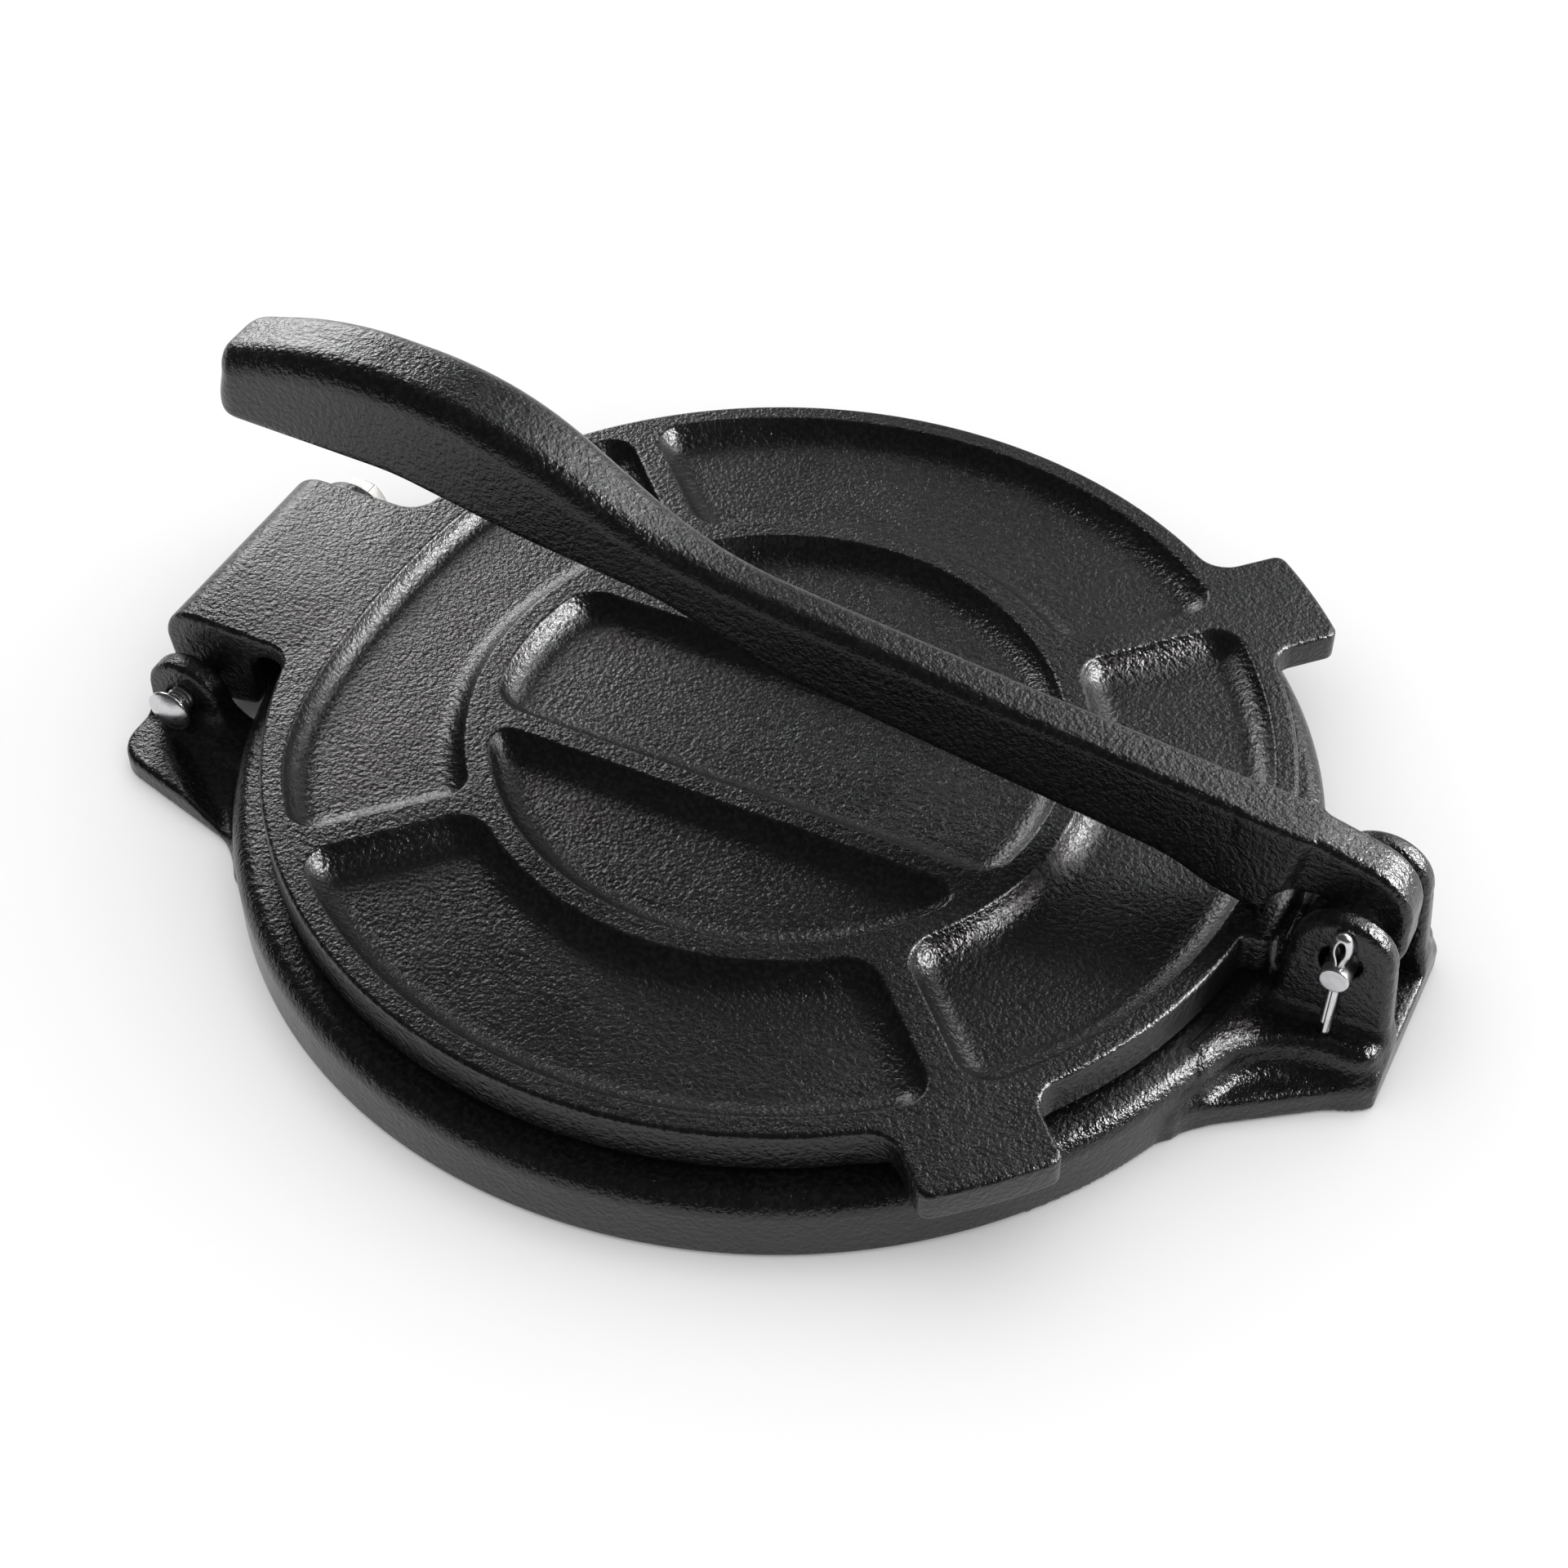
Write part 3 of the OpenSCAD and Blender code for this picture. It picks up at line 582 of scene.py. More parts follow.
def addPocket(shell, pocket, s):
    # rings of the outline moved inwards over the edge and the wall, then triangles over the root and the floor
    path, field, corner = pocket
    for _ in range(4):
        path = path - slopeOf(field, path) * field(path)[:, None]
    path = evenPath(path, s["pocketSpacing"])
    path = path - slopeOf(field, path) * field(path)[:, None]
    inward = -slopeOf(field, path)
    _, run = pocketHeight(np.zeros(1), s)
    last = min(corner * 0.72, run)
    wallTop = s["pocketEdge"] * math.sin(math.radians(s["wallSlope"]))
    steps = np.concatenate([[-0.45], np.linspace(0, wallTop, 7), np.linspace(wallTop, last, 9)[1:]])
    grid = path[:, None] + inward[:, None] * steps[None, :, None]
    height = pocketHeight(np.maximum(-field(grid.reshape(-1, 2)), 0), s)[0].reshape(grid.shape[:2])
    grid = np.concatenate([grid, plateTop + height[..., None]], 2)
    shell.addGrid(grid)
    loop = grid[:, -1, :2]
    step = s["rootSpacing"]
    low, high = loop.min(0), loop.max(0)
    gx, gy = np.meshgrid(np.arange(low[0], high[0], step), np.arange(low[1], high[1], step * 0.87), indexing="ij")
    gx = gx + step / 2 * (np.arange(gx.shape[1]) % 2)[None]
    spots = np.stack([gx.ravel(), gy.ravel()], 1)
    inside = -field(spots)
    spots = spots[(inside > last + step * 0.55) & (inside < run + 1.6)]
    edges = np.stack([np.arange(len(loop)), np.roll(np.arange(len(loop)), -1)], 1).tolist()
    flat, _, faces, _, _, _ = delaunay_2d_cdt([Vector(p) for p in np.vstack([loop, spots]).tolist()], edges, [], 0, 1e-7)
    flat = np.array([tuple(p) for p in flat])
    faces = np.array([list(f) for f in faces])
    faces = faces[insideLoops(flat[faces].mean(1), [loop])]
    height = pocketHeight(-field(flat), s)[0]
    height[:len(loop)] = grid[:, -1, 2] - plateTop
    shell.add(np.column_stack([flat, plateTop + height]), faces)
    return grid[:, 0, :2]


def buildPlate(s):
    shell = Shell()
    outline = plateOutline(s)
    normals = inwardNormals(outline)
    radius = np.hypot(*outline.T)
    bearing = np.degrees(np.arctan2(outline[:, 1], outline[:, 0]))
    out = np.clip((radius - press["plateRadius"] - 0.05) / 2.5, 0, 1)
    onTab = smooth(out, 0, 1) * (np.abs(np.abs(bearing) - s["tabAngle"]) < 14)
    onLug = smooth(out, 0, 1) * (np.abs(bearing) > 150)
    onNose = smooth(outline[:, 0], s["noseEnd"] - 2.4, s["noseEnd"] - 0.4) * (np.abs(bearing) < 8)
    bottom = press["plateBottom"] + onTab * (plateTop - s["tabThick"] - press["plateBottom"]) \
        + onLug * (plateTop - s["lugThick"] - press["plateBottom"])
    edge = s["edge"] + onNose * (s["noseEdge"] - s["edge"])
    low = s["lowerEdge"]

    turn = np.radians(np.linspace(0, 90, 8))
    distance = [edge + 0.45] + [edge * (1 - math.sin(t)) for t in turn] \
        + [np.full(len(outline), low * (1 - math.cos(t))) for t in turn] + [np.full(len(outline), low + 0.45)]
    height = [np.full(len(outline), plateTop)] + [plateTop - edge * (1 - math.cos(t)) for t in turn] \
        + [bottom + low * (1 - math.sin(t)) for t in turn] + [bottom]
    distance, height = np.stack(distance, 1), np.stack(height, 1)
    grid = np.concatenate([outline[:, None] + normals[:, None] * distance[..., None], height[..., None]], 2)
    shell.addGrid(grid, flip=True)

    # underside: flat inside the round plate, sloping out under the tabs and the lug
    ringSteps = np.linspace(0, 360, 361)[:-1]
    inner = np.stack([np.cos(np.radians(ringSteps)), np.sin(np.radians(ringSteps))], 1) * (press["plateRadius"] - 2.5)
    flat, faces = fillLoops([grid[:, -1, :2], inner])
    heights = np.full(len(flat), press["plateBottom"])
    heights[:len(outline)] = bottom
    shell.add(np.column_stack([flat, heights]), faces[:, ::-1])
    shell.addFill([inner], press["plateBottom"], down=True)

    loops = [grid[:, 0, :2]]
    for pocket in pocketList(s):
        loops.append(addPocket(shell, pocket, s))
    shell.addFill(loops, plateTop)
    return shell


lugShape = {
    "half": 25.8, "edge": 1.5, "topLift": 0.02, "outerX": -134.2, "corner": 8.0, "wall": 5.0, "channelX": -114.8,
    "knuckle": 7.5, "endX": -99.0, "inside": 4.5, "inner": 2.2, "innerZ": 7.6, "spacing": 0.7,
}


def roundedPrism(shell, outline, half, edge):
    # an outline drawn in x and z, carried along Y between -half and half with its end edges rounded
    normals = inwardNormals(outline)
    turn = np.radians(np.linspace(0, 90, 7))
    inset = np.concatenate([[edge + 0.4], edge * (1 - np.sin(turn)), (edge * (1 - np.sin(turn)))[::-1], [edge + 0.4]])
    place = np.concatenate([[-half], -half + edge * (1 - np.cos(turn)), (half - edge * (1 - np.cos(turn)))[::-1], [half]])
    flat = outline[:, None] + normals[:, None] * inset[None, :, None]
    grid = np.stack([flat[..., 0], np.broadcast_to(place, flat.shape[:2]), flat[..., 1]], 2)
    shell.addGrid(grid, flip=True)
    for end, down in ((0, False), (-1, True)):
        shell.addFill([flat[:, end]], 0, down=down,
                      toSpace=lambda p, y=place[end]: np.stack([p[:, 0], np.full(len(p), y), p[:, 1]], 1))


def buildLug(s):
    # wall over the hinge, its rounded outer corner, and the knuckle that turns on the bolt
    top = plateTop + s["topLift"]
    under = plateTop - s["wall"]
    knuckle = s["knuckle"]
    outline = np.concatenate([
        arcPoints((s["endX"] - 1.5, top - 2.2), 2.2, 0, 90),
        arcPoints((s["outerX"] + s["corner"], top - s["corner"]), s["corner"], 90, 180),
        arcPoints((hingeX, hingeZ), knuckle, 180, 289),
        arcPoints((s["channelX"] - s["inner"], s["innerZ"]), s["inner"], -71, 0),
        arcPoints((s["channelX"] + s["inside"], under - s["inside"]), s["inside"], 180, 90),
        arcPoints((s["endX"] - 1.5, under + 2.2), 2.2, 270, 360)])
    outline = evenPath(outline, s["spacing"])
    shell = Shell()
    roundedPrism(shell, outline, s["half"], s["edge"])

    def followDisc(points):
        # the inner face keeps an even distance from the round base: it moves by r - sqrt(r^2 - y^2)
        x, y, z = points.T
        shift = -s["channelX"] - np.sqrt(s["channelX"] ** 2 - y ** 2)
        inner = smooth(x, -121, -116) * (1 - smooth(x, -110.5, -102)) * (z < top - 0.5)
        return points + np.stack([shift * inner, 0 * y, 0 * z], 1)

    shell.points = [followDisc(part) for part in shell.points]
    return shell


addPiece("top_plate_casting", buildPlate(plateShape), plateIron, "top_plate", ["top_plate"])
addPiece("hinge_lug", buildLug(lugShape), plateIron, "top_plate", [], autoNormals=True)
print("top plate made")

# ---------------------------------------------------------------- base

baseShape = {
    "radius": 112.3, "top": 15.0, "shoulder": 4.3, "foot": 1.0, "skirt": 6.5, "floor": 6.0, "turns": 300,
}


def buildBaseDisc(s):
    # a profile in radius and height turned about the Z axis
    radius, top = s["radius"], s["top"]
    under = top - s["floor"]
    inner = radius - s["skirt"]
    profile = np.concatenate([
        [[0, top], [60, top], [radius - s["shoulder"] - 0.6, top]],
        arcPoints((radius - s["shoulder"], top - s["shoulder"]), s["shoulder"], 90, 0, 0.7),
        arcPoints((radius - s["foot"], s["foot"]), s["foot"], 0, -90, 0.25),
        [[radius - s["foot"] - 0.5, 0]],
        arcPoints((inner + 1.5, 1.0), 1.0, -90, -180, 0.3),
        arcPoints((inner - 3.2, under - 3.0), 3.0, 0, 90, 0.6),
        [[inner - 4.0, under], [60, under], [0, under]]])
    turn = np.linspace(0, 2 * np.pi, s["turns"] + 1)[:-1]
    grid = np.stack([profile[None, :, 0] * np.cos(turn)[:, None], profile[None, :, 0] * np.sin(turn)[:, None],
                     np.broadcast_to(profile[None, :, 1], (len(turn), len(profile)))], 2)
    shell = Shell()
    shell.addGrid(grid, flip=True)
    return shell


bracketShape = {
    "step": 0.55, "end": 136.0, "nearCorner": 3.0, "farCorner": 14.0, "slant": 35.1, "line": 94.3, "root": 5.0,
    "flange": 6.0, "flangeEdge": 1.3, "pad": 12.5, "padHalf": 21.4, "padRoot": 22.0, "padEdge": 2.5,
    "earInner": 8.5, "earThick": 5.2, "earRadius": 10.2, "earEdge": 1.8, "hole": 4.15, "slotFloor": 7.5,
    "footFillet": 4.0, "earFillet": 3.0, "discFillet": 4.0,
}


def tangentPoint(p, c, radius, side):
    p, c = np.array(p, float), np.array(c, float)
    length = np.linalg.norm(c - p)
    angle = math.atan2(*(c - p)[::-1]) + side * math.asin(radius / length)
    return p + math.sqrt(length ** 2 - radius ** 2) * np.array([math.cos(angle), math.sin(angle)])


def flangeHalf(s, corner):
    # one side of the flange, from its end to the base disc
    slant = math.radians(s["slant"])
    n, u = np.array([math.sin(slant), math.cos(slant)]), np.array([math.cos(slant), -math.sin(slant)])
    c = np.array([s["end"] - corner, ((s["line"] - corner) - (s["end"] - corner) * math.sin(slant)) / math.cos(slant)])
    disc = press["baseRadius"]
    f = (s["line"] + s["root"]) * n + math.sqrt((disc + s["root"]) ** 2 - (s["line"] + s["root"]) ** 2) * u
    return np.concatenate([arcPoints(c, corner, 0, 90 - s["slant"], 0.5),
                           arcPoints(f, s["root"], 270 - s["slant"], angleOf(f) + 180, 0.5), [[85, 40]]])


def buildLeverBracket(s):
    # flange, pad and two ears melted into each other and into the side of the disc
    step = s["step"]
    axes, (x, y, z) = spaceGrid((86, -73, -1.5), (138, 73, 40), step)
    flat = np.meshgrid(axes[0], axes[1], indexing="ij")
    near = flangeHalf(s, s["nearCorner"])
    far = flangeHalf(s, s["farCorner"])
    flange = outlineDistance(*flat, np.concatenate([far, (near * [1, -1])[::-1]]))[:, :, None]
    rc = 5.0
    root = rootCircle(press["baseRadius"], s["padHalf"], s["padRoot"])
    padSide = np.concatenate([arcPoints((s["end"] - 0.8 - rc, s["padHalf"] - rc), rc, 0, 90, 0.5),
                              arcPoints(root, s["padRoot"], 270, angleOf(root) + 180, 0.5), [[85, 30]]])
    pad = outlineDistance(*flat, np.concatenate([padSide, (padSide * [1, -1])[::-1]]))[:, :, None]

    ground = -z + 0 * x
    flange = roundMeet(roundMeet(flange + 0 * z, z - s["flange"], s["flangeEdge"]), ground, 0.6)
    pad = roundMeet(pad + (z - 6.0) * 0.12, z - s["pad"], s["padEdge"])
    slot = np.maximum(np.maximum(np.abs(y) - s["earInner"], s["slotFloor"] - z), 112.0 - x)
    pad = roundMeet(pad, -slot, 1.2)
    pad = np.maximum(pad, ground)

    side = np.meshgrid(axes[0], axes[2], indexing="ij")
    centre = (pivotX, 28.375)
    left, right = (110.6, 9.0), (135.6, 4.0)
    ear = np.concatenate([[left], [right], [tangentPoint(right, centre, s["earRadius"], -1)],
                          arcPoints(centre, s["earRadius"], -4, 184, 0.5),
                          [tangentPoint(left, centre, s["earRadius"], 1)]])
    ear = outlineDistance(*side, ear)[:, None, :]
    middle = s["earInner"] + s["earThick"] / 2
    thick = s["earThick"] / 2 + np.clip(28 - z, 0, 22) * 0.02
    ear = roundMeet(ear + 0 * y, np.abs(np.abs(y) - middle - (thick - s["earThick"] / 2)) - thick, s["earEdge"])

    solid = roundJoin(flange, pad, s["footFillet"])
    solid = roundJoin(solid, ear, s["earFillet"])
    # the gap between the ears stays open down to the floor of the slot
    solid = roundMeet(solid, -np.maximum(np.maximum(np.abs(y) - s["earInner"], s["slotFloor"] - z), 104 - x), 0.6)
    disc = roundMeet(np.hypot(x, y) - press["baseRadius"] + 0.08 + 0 * z, z - press["baseTop"] + 0.08, 4.3)
    disc = np.maximum(disc, ground + 0.08)
    solid = roundJoin(solid, disc, s["discFillet"])
    bore = np.hypot(x - centre[0], z - centre[1]) - s["hole"]
    solid = roundMeet(solid, -bore + 0 * y, 0.3)
    solid = np.maximum(solid, 107.3 - np.hypot(x, y))
    solid = np.maximum(solid, np.maximum(ground, x - s["end"]))
    shell = Shell()
    shell.add(*fieldSurface(solid, axes))
    return shell


hingeFlangeShape = {
    "step": 0.5, "slant": 15.2, "line": {-1: 82.5, 1: 76.5}, "corner": 9.0, "root": 22.0, "end": 133.2, "thick": 5.0,
    "edge": 1.2, "inner": 28.5, "earInner": 29.0, "earThick": 5.7, "earRadius": 9.4, "earAt": (-125.0, 9.7),
    "earEdge": 1.5, "earFillet": 4.0, "ridge": 38.6, "dip": 3.5, "dipLength": 2.6,
    "discFillet": 4.0,
}


def buildHingeFlange(s, side):
    # flange and ear on one side; side is -1 for the near one and 1 for the far one
    axes, (x, y, z) = spaceGrid((-138, 27, -1.5), (-86, 72, 22), s["step"])
    flat = np.meshgrid(axes[0], axes[1], indexing="ij")
    slant = math.radians(s["slant"])
    disc = press["baseRadius"]
    n, u = np.array([-math.sin(slant), math.cos(slant)]), np.array([-math.cos(slant), -math.sin(slant)])
    line, corner = s["line"][side], s["corner"]
    c = np.array([corner - s["end"], ((line - corner) + (corner - s["end"]) * math.sin(slant)) / math.cos(slant)])
    f = (line + s["root"]) * n + math.sqrt((disc + s["root"]) ** 2 - (line + s["root"]) ** 2) * u
    outline = np.concatenate([
        [[-80, s["inner"]], [-s["end"], s["inner"]]],
        arcPoints(c, corner, 180, 90 + s["slant"], 0.5),
        arcPoints(f, s["root"], 270 + s["slant"], angleOf(f) + 180, 0.5), [[-80, 50]]])
    ground = -z + 0 * x
    flat = outlineDistance(*flat, outline)[:, :, None] + 0 * z
    # beyond a ridge beside the ear the top sinks into a trough that opens towards the slanted side
    past = np.maximum(y - s["ridge"], 0)
    left, right = -129.0 + 1.1 * past, -112.5 + 1.45 * past
    across = np.sin(np.pi * np.clip((x - left) / (right - left), 0, 1)) ** 1.3
    top = s["thick"] - s["dip"] * (1 - np.exp(-past / s["dipLength"])) * across
    flange = roundMeet(roundMeet(flat, (z - top) * 0.9, s["edge"]), ground, 0.6)
    sideways = np.meshgrid(axes[0], axes[2], indexing="ij")
    centre = s["earAt"]
    foot, toe = (-133.0, 1.0), (hingeX + s["earRadius"] + 2.6, 1.0)
    ear = np.concatenate([[foot], [toe], [tangentPoint(toe, centre, s["earRadius"], -1)],
                          arcPoints(centre, s["earRadius"], 0, 180, 0.5),
                          [tangentPoint(foot, centre, s["earRadius"], 1)]])
    ear = outlineDistance(*sideways, ear)[:, None, :]
    middle = s["earInner"] + s["earThick"] / 2
    ear = roundMeet(ear + 0 * y, np.abs(y - middle) - s["earThick"] / 2, s["earEdge"])
    solid = roundJoin(flange, ear, s["earFillet"])
    solid = np.maximum(solid, s["inner"] - y)
    round_ = roundMeet(np.hypot(x, y) - disc + 0.08 + 0 * z, z - press["baseTop"] + 0.08, 4.3)
    round_ = np.maximum(round_, ground + 0.08)
    solid = roundJoin(solid, round_, s["discFillet"])
    bore = np.hypot(x - hingeX, z - hingeZ) - press["pinRadius"] - 0.05
    solid = roundMeet(solid, -bore + 0 * y, 0.4)
    solid = np.maximum(solid, 107.3 - np.hypot(x, y))
    solid = np.maximum(solid, np.maximum(ground, -s["end"] - x))
    points, faces = fieldSurface(solid, axes)
    shell = Shell()
    if side < 0:
        shell.add(points * [1, -1, 1], faces[:, ::-1])
    else:
        shell.add(points, faces)
    return shell


addPiece("base_disc", buildBaseDisc(baseShape), baseIron, "base", ["base"])
addPiece("lever_bracket", buildLeverBracket(bracketShape), baseIron, "base", [], weld=0)
addPiece("near_hinge_ear", buildHingeFlange(hingeFlangeShape, -1), baseIron, "base", [], weld=0)
addPiece("far_hinge_ear", buildHingeFlange(hingeFlangeShape, 1), baseIron, "base", [], weld=0)
print("base made")

# ---------------------------------------------------------------- lever

leverShape = {
    "step": 0.6, "eye": 9.9, "reach": 247.4, "neckHalf": 4.6, "neckEdge": 1.6,
    "beamHalf": 5.0, "draft": 0.11, "gripHalf": 9.5, "gripFrom": 124.0, "gripTo": 188.0,
    "beamEdge": 1.6, "bendEdge": 3.4, "gripEdge": 5.6, "lowerEdge": 2.2, "stepFillet": 2.2,
    # side view, x and z from the lever pin and corner radius: heel, nose, top edge, tip, underside
    "side": [
        (-17.6, -0.8, 1.0), (-16.0, 5.2, 2.5), (-6.0, 6.5, 3.0), (3.0, -3.0, 1.0), (9.72, -2.0, 0.3),
        (10.0, 14.9, 12.0), (-10.5, 20.2, 25.0), (-70.0, 27.3, 200.0), (-140.0, 37.0, 90.0),
        (-184.0, 62.14, 80.0), (-222.0, 64.12, 80.0), (-246.0, 57.3, 5.0), (-247.4, 42.2, 3.2),
        (-205.0, 41.0, 60.0), (-148.0, 28.9, 60.0), (-124.0, 18.8, 60.0), (-38.0, 5.6, 30.0), (-28.0, 1.3, 12.0),
    ],
}


def buildLever(s):
    # side outline met with a width that changes along it; x and z count from the lever pin
    axes, (x, y, z) = spaceGrid((-249, -11, -11), (12, 11, 66), s["step"])
    flat = np.meshgrid(axes[0], axes[2], indexing="ij")
    outline = roundedPath(s["side"], 1.0)
    side = outlineDistance(*flat, outline)
    side = np.minimum(side, np.hypot(*flat) - s["eye"])[:, None, :]
    reach = -x
    grip = smooth(reach, s["gripFrom"], s["gripTo"])
    top = np.interp(reach, [0, 17, 70, 140, 165, 190, 222, 247], [19, 21, 27, 38, 51, 61, 63, 57])
    depth = np.interp(reach, [0, 17, 38, 124, 150, 190, 222, 247], [21, 21, 18, 16, 13, 22, 22, 15])
    half = s["beamHalf"] + np.clip(top - z, 0, 22) * s["draft"]
    half = half * (1 - grip) + s["gripHalf"] * grip
    # the tip is rounded seen from above
    tip = np.clip(reach - (s["reach"] - 6.0), 0, 6.0)
    half = half - (6.0 - np.sqrt(36.0 - tip ** 2 + 1e-6)) * 0.8
    edge = s["beamEdge"] + (s["bendEdge"] - s["beamEdge"]) * smooth(reach, 30, 130) * (1 - grip) \
        + (s["gripEdge"] - s["beamEdge"]) * grip
    edge = s["lowerEdge"] + (edge - s["lowerEdge"]) * smooth(z - top + depth / 2, -4, 4)
    u, v = np.maximum(edge + side, 0), np.maximum(edge + np.abs(y) - half, 0)
    beam = np.minimum(-edge, np.maximum(side + 0 * y, np.abs(y) - half)) + np.hypot(u, v)
    beam = roundMeet(beam, (x + 14.4) * 0.979 - (z - 8.0) * 0.2 + 0 * y, 1.0)
    neck = roundMeet(side + 0 * y, np.abs(y) - s["neckHalf"] + 0 * x, s["neckEdge"])
    neck = np.maximum(neck, -24 - x)
    solid = roundJoin(neck, beam, s["stepFillet"])
    # the fillet stays inside the side outline
    solid = np.maximum(solid, side)
    bore = np.hypot(x, z) - press["pinRadius"] - 0.08
    solid = roundMeet(solid, -bore + 0 * y, 0.4)
    points, faces = fieldSurface(solid, axes)
    shell = Shell()
    shell.add(points + [pivotX, 0, pivotZ], faces)
    return shell


addPiece("lever_casting", buildLever(leverShape), leverIron, "lever", ["lever"], weld=0)
print("lever made")

# ---------------------------------------------------------------- bolt, nut and pins

boltShape = {
    "headFace": -38.2, "headHeight": 2.6, "headRadius": 5.0, "end": 41.4, "pitch": 1.0, "thread": 0.36,
    "threadNear": (-38.2, -33.5), "threadFar": (34.0, 41.0),
}


def alongY(grid, x, z):
    # a grid given as radius, turn and y becomes points about an axis along Y
    radius, turn, y = grid
    return np.stack([x + radius * np.cos(turn), y, z + radius * np.sin(turn)], -1)


def buildBolt(s):
    # shank with a helical thread where it shows, and a domed head
    pin = press["pinRadius"]
    y = np.concatenate([np.arange(s["headFace"] - 0.2, -32, 0.07), np.linspace(-32, 32, 12), np.arange(32.1, s["end"], 0.07)])
    turn = np.linspace(0, 2 * np.pi, 49)[:-1]
    yy, tt = np.meshgrid(y, turn, indexing="ij")
    phase = (yy / s["pitch"] - tt / (2 * np.pi)) % 1.0
    groove = np.clip(np.abs(phase - 0.5) * 2 * 1.3 - 0.1, 0, 1)
    inThread = np.maximum(smooth(-yy, -s["threadNear"][1] - 0.6, -s["threadNear"][1]), smooth(yy, s["threadFar"][0] - 0.5, s["threadFar"][0]))
    radius = pin - s["thread"] * groove * inThread
    radius = np.minimum(radius, pin - 0.55 + np.maximum(s["end"] - yy, 0) * 0.9)
    shell = Shell()
    grid = alongY((radius, tt, yy), hingeX, hingeZ)
    shell.addGrid(grid, closedRows=False, closedColumns=True, flip=True)
    for row, flip in ((0, False), (-1, True)):
        ring = grid[row]
        centre = ring.mean(0)
        loop = np.stack([ring, ring * 0.5 + centre * 0.5, np.broadcast_to(centre, ring.shape)], 0)
        shell.addGrid(loop, closedRows=False, closedColumns=True, flip=flip)
    # head: flat back, rounded rim and low dome
    face, height, wide = s["headFace"], s["headHeight"], s["headRadius"]
    rim = np.radians(np.linspace(-90, 20, 9))
    profile = np.concatenate([[[0.0, face], [wide - 1.0, face]],
                              np.stack([wide - 0.7 + 0.7 * np.cos(rim), face - 0.7 - 0.7 * np.sin(rim)], 1)])
    last = profile[-1]
    dome = np.linspace(1, 0, 12)[1:]
    profile = np.concatenate([profile, np.stack([last[0] * dome, last[1] - (height + face - face - (face - last[1])) * (1 - dome ** 2)], 1)])
    turn = np.linspace(0, 2 * np.pi, 65)[:-1]
    tt = np.broadcast_to(turn[None], (len(profile), 64))
    head = alongY((profile[:, :1] + 0 * tt, tt, profile[:, 1:] + 0 * tt), hingeX, hingeZ)
    shell.addGrid(head, closedRows=False, closedColumns=True, flip=False)
    return shell


nutShape = {"start": 34.75, "thick": 5.0, "flats": 10.8, "bore": 3.0}


def buildNut(s):
    # six flats cut back by a cone at both ends, with a bore
    turn = np.linspace(0, 2 * np.pi, 145)[:-1]
    hexagon = s["flats"] / 2 / np.cos((turn + np.pi / 2 + np.pi / 6) % (np.pi / 3) - np.pi / 6)
    depth = np.concatenate([np.linspace(0, 1.0, 8), np.linspace(1.4, s["thick"] - 1.4, 4), np.linspace(s["thick"] - 1.0, s["thick"], 8)])
    toEnd = np.minimum(depth, s["thick"] - depth)
    cone = s["flats"] / 2 * 0.96 + toEnd * 1.7
    outer = np.minimum(hexagon[None], cone[:, None])
    rings = [np.full((1, 144), s["bore"]), outer, np.full((1, 144), s["bore"])]
    radius = np.concatenate(rings, 0)
    y = np.concatenate([[0.0], depth, [s["thick"]]]) + s["start"]
    tt = np.broadcast_to(turn[None], radius.shape)
    grid = alongY((radius, tt, y[:, None] + 0 * tt), hingeX, hingeZ)
    shell = Shell()
    shell.addGrid(grid, closedRows=False, closedColumns=True, flip=True)
    shell.addGrid(grid[[0, -1]], closedRows=False, closedColumns=True, flip=False)
    return shell


pinShape = {"near": -17.5, "head": 14.2, "headThick": 2.6, "headRadius": 5.2, "chamfer": 0.4}


def buildPin(s):
    # one profile in radius and y, turned about the pin's axis
    pin = press["pinRadius"]
    head, end = s["head"], s["head"] + s["headThick"]
    turnR = np.radians(np.linspace(0, 90, 6))
    profile = np.concatenate([
        [[0, s["near"]], [pin - 0.9, s["near"]]],
        np.stack([pin - s["chamfer"] * (1 - np.sin(turnR)), s["near"] + s["chamfer"] * (1 - np.cos(turnR))], 1),
        [[pin, s["near"] + 1], [pin, head - 0.5], [pin, head]],
        [[s["headRadius"] - 0.8, head]],
        np.stack([s["headRadius"] - 0.4 * (1 - np.sin(turnR)), head + 0.4 * (1 - np.cos(turnR))], 1),
        np.stack([s["headRadius"] - 0.5 * (1 - np.cos(turnR)), end - 0.5 * (1 - np.sin(turnR))], 1),
        [[s["headRadius"] - 1.2, end], [0, end]]])
    tt = np.broadcast_to(np.linspace(0, 2 * np.pi, 65)[:-1][None], (len(profile), 64))
    grid = alongY((profile[:, :1] + 0 * tt, tt, profile[:, 1:] + 0 * tt), pivotX, pivotZ)
    shell = Shell()
    shell.addGrid(grid, closedRows=False, closedColumns=True, flip=True)
    return shell


splitShape = {
    "y": -15.5, "radius": 1.25, "loopX": 1.2, "loopZ": 3.4, "loopAt": 7.5, "longLeg": -13.8, "shortLeg": -11.6,
    "lean": 0.2, "spread": 0.08,
}


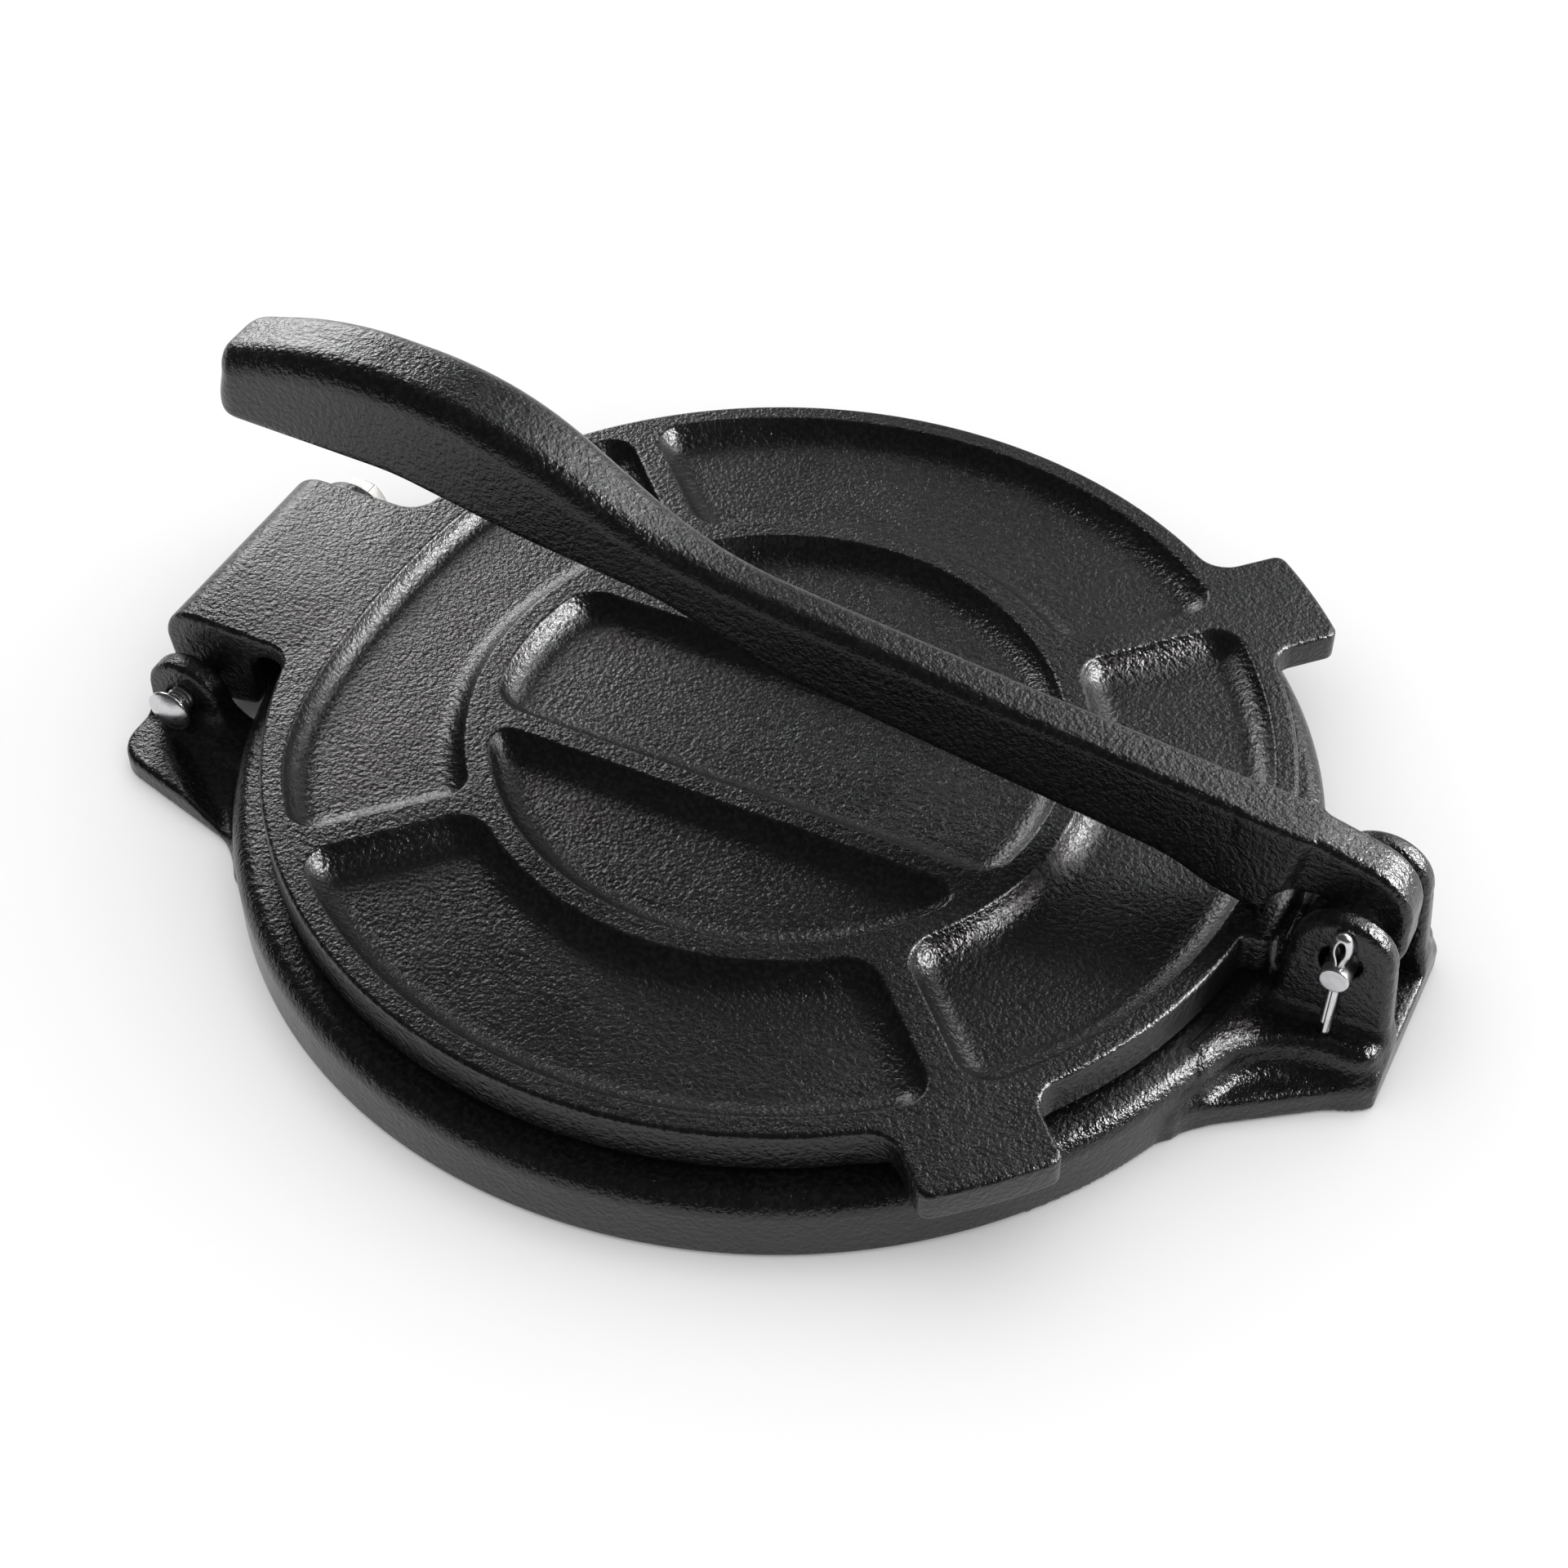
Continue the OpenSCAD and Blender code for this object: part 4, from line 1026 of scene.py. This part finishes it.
def buildSplitPin(s):
    # a half round wire carried along a path: up one leg, round the loop, down the other leg
    radius = s["radius"]
    turn = np.radians(np.linspace(-152, 152, 60))
    neck = s["loopAt"] - s["loopZ"] * math.cos(math.radians(28)) - 0.6

    def leg(side, end):
        z = np.linspace(end, neck, 40)
        x = side * (0.03 + s["spread"] * 0.02 * np.maximum(-z, 0))
        y = -s["lean"] * np.maximum(-z - 3.5, 0)
        return np.stack([x, y, z], 1)

    loop = np.stack([s["loopX"] * 0.78 * np.sin(turn), 0 * turn, s["loopAt"] + s["loopZ"] * 0.72 * np.cos(turn)], 1)
    path = np.concatenate([leg(-1, s["shortLeg"]), loop, leg(1, s["longLeg"])[::-1]])
    for _ in range(3):
        path[1:-1] = (path[:-2] + 2 * path[1:-1] + path[2:]) / 4
    tangent = np.gradient(path, axis=0)
    tangent /= np.linalg.norm(tangent, axis=1)[:, None]
    across = np.broadcast_to([0.0, 1.0, 0.0], tangent.shape)
    outward = np.cross(across, tangent)
    across = np.cross(tangent, outward)
    around = np.radians(np.linspace(-90, 90, 13))
    ring = np.concatenate([np.stack([np.cos(around), np.sin(around)], 1) * radius,
                           np.stack([np.zeros(5), np.linspace(1, -1, 7)[1:-1]], 1) * radius])
    grid = path[:, None] + outward[:, None] * -ring[None, :, :1] + across[:, None] * ring[None, :, 1:]
    grid = grid + [pivotX, s["y"], pivotZ]
    shell = Shell()
    shell.addGrid(grid, closedRows=False, closedColumns=True)
    for row, flip in ((0, True), (-1, False)):
        centre = grid[row].mean(0)
        cap = np.stack([grid[row], np.broadcast_to(centre, grid[row].shape)], 0)
        shell.addGrid(cap, closedRows=False, closedColumns=True, flip=flip)
    return shell


addPiece("hinge_bolt_zinc", buildBolt(boltShape), boltZinc, "base", ["hinge_bolt"], autoNormals=True)
addPiece("hex_nut_zinc", buildNut(nutShape), nutPaintedShadeZinc, "base", ["hex_nut"], autoNormals=True)
addPiece("lever_pin_zinc", buildPin(pinShape), pinZinc, "base", ["lever_pin"], autoNormals=True)
addPiece("split_pin_zinc", buildSplitPin(splitShape), pinZinc, "base", ["split_pin"], autoNormals=True)
print("bolt, nut and pins made")

# ---------------------------------------------------------------- floor, world and lamps

studio = {
    "floorColour": (0.9, 0.9, 0.9), "seen": 1.0, "mirrored": (0.04, 0.5), "mirrorBand": (0.2, 1.0), "spread": 1.15,
    "lamps": [
        # name, place, size, watts
        ("left_box", (-0.5, 0.42, 0.27), 0.26, 2.2),
        ("right_box", (0.72, 0.36, 0.44), 0.4, 24.0),
        ("back_box", (0.28, 0.62, 0.55), 0.4, 3.0),
    ],
}


def makeStudio(s):
    material, tree, shader = newMaterial("floor_white")
    shader.inputs["Base Color"].default_value = (*s["floorColour"], 1)
    shader.inputs["Roughness"].default_value = 0.9
    mesh = bpy.data.meshes.new("floor")
    side = 6.0
    mesh.from_pydata([(-side, -side, 0), (side, -side, 0), (side, side, 0), (-side, side, 0)], [], [(0, 1, 2, 3)])
    mesh.materials.append(material)
    floor = bpy.data.objects.new("floor", mesh)
    floor.location.z = -0.0004
    bpy.context.scene.collection.objects.link(floor)

    world = bpy.data.worlds.new("studio")
    bpy.context.scene.world = world
    world.use_nodes = True
    tree = world.node_tree
    back = tree.nodes["Background"]
    path = tree.nodes.new("ShaderNodeLightPath")
    # strength for rays from the camera, for mirrored rays and for all others
    glossy = makeNode(tree, "ShaderNodeMix", data_type="FLOAT")
    glossy.inputs["A"].default_value = s["spread"]
    # what iron mirrors gets lighter towards +Y, as in a tent with one open side, so its grain shows
    way = makeNode(tree, "ShaderNodeSeparateXYZ")
    tree.links.new(makeNode(tree, "ShaderNodeTexCoord").outputs["Generated"], way.inputs["Vector"])
    tent = makeNode(tree, "ShaderNodeMapRange", interpolation_type="SMOOTHSTEP")
    for key, number in zip(("From Min", "From Max", "To Min", "To Max"), s["mirrorBand"] + s["mirrored"]):
        tent.inputs[key].default_value = number
    tree.links.new(way.outputs["Y"], tent.inputs["Value"])
    tree.links.new(tent.outputs["Result"], glossy.inputs["B"])
    tree.links.new(path.outputs["Is Glossy Ray"], glossy.inputs["Factor"])
    seen = makeNode(tree, "ShaderNodeMath", operation="MAXIMUM")
    tree.links.new(path.outputs["Is Camera Ray"], seen.inputs[0])
    tree.links.new(path.outputs["Is Transmission Ray"], seen.inputs[1])
    level = makeNode(tree, "ShaderNodeMix", data_type="FLOAT")
    level.inputs["B"].default_value = s["seen"]
    tree.links.new(seen.outputs[0], level.inputs["Factor"])
    tree.links.new(glossy.outputs["Result"], level.inputs["A"])
    tree.links.new(level.outputs["Result"], back.inputs["Strength"])
    back.inputs["Color"].default_value = (1, 1, 1, 1)

    for name, place, size, watts in s["lamps"]:
        data = bpy.data.lights.new(name, "AREA")
        data.shape = "SQUARE"
        data.size = size
        data.energy = watts
        lamp = bpy.data.objects.new(name, data)
        lamp.location = place
        lamp.rotation_mode = "QUATERNION"
        lamp.rotation_quaternion = (Vector((0, 0, 0.02)) - Vector(place)).to_track_quat("-Z", "Y")
        lamp.visible_camera = False
        lamp.visible_diffuse = False  # the boxes only mirror in iron and zinc; the level world lights the floor
        bpy.context.scene.collection.objects.link(lamp)


makeStudio(studio)
bpy.context.scene.view_settings.view_transform = "Standard"
print("studio made")

bpy.context.view_layer.update()
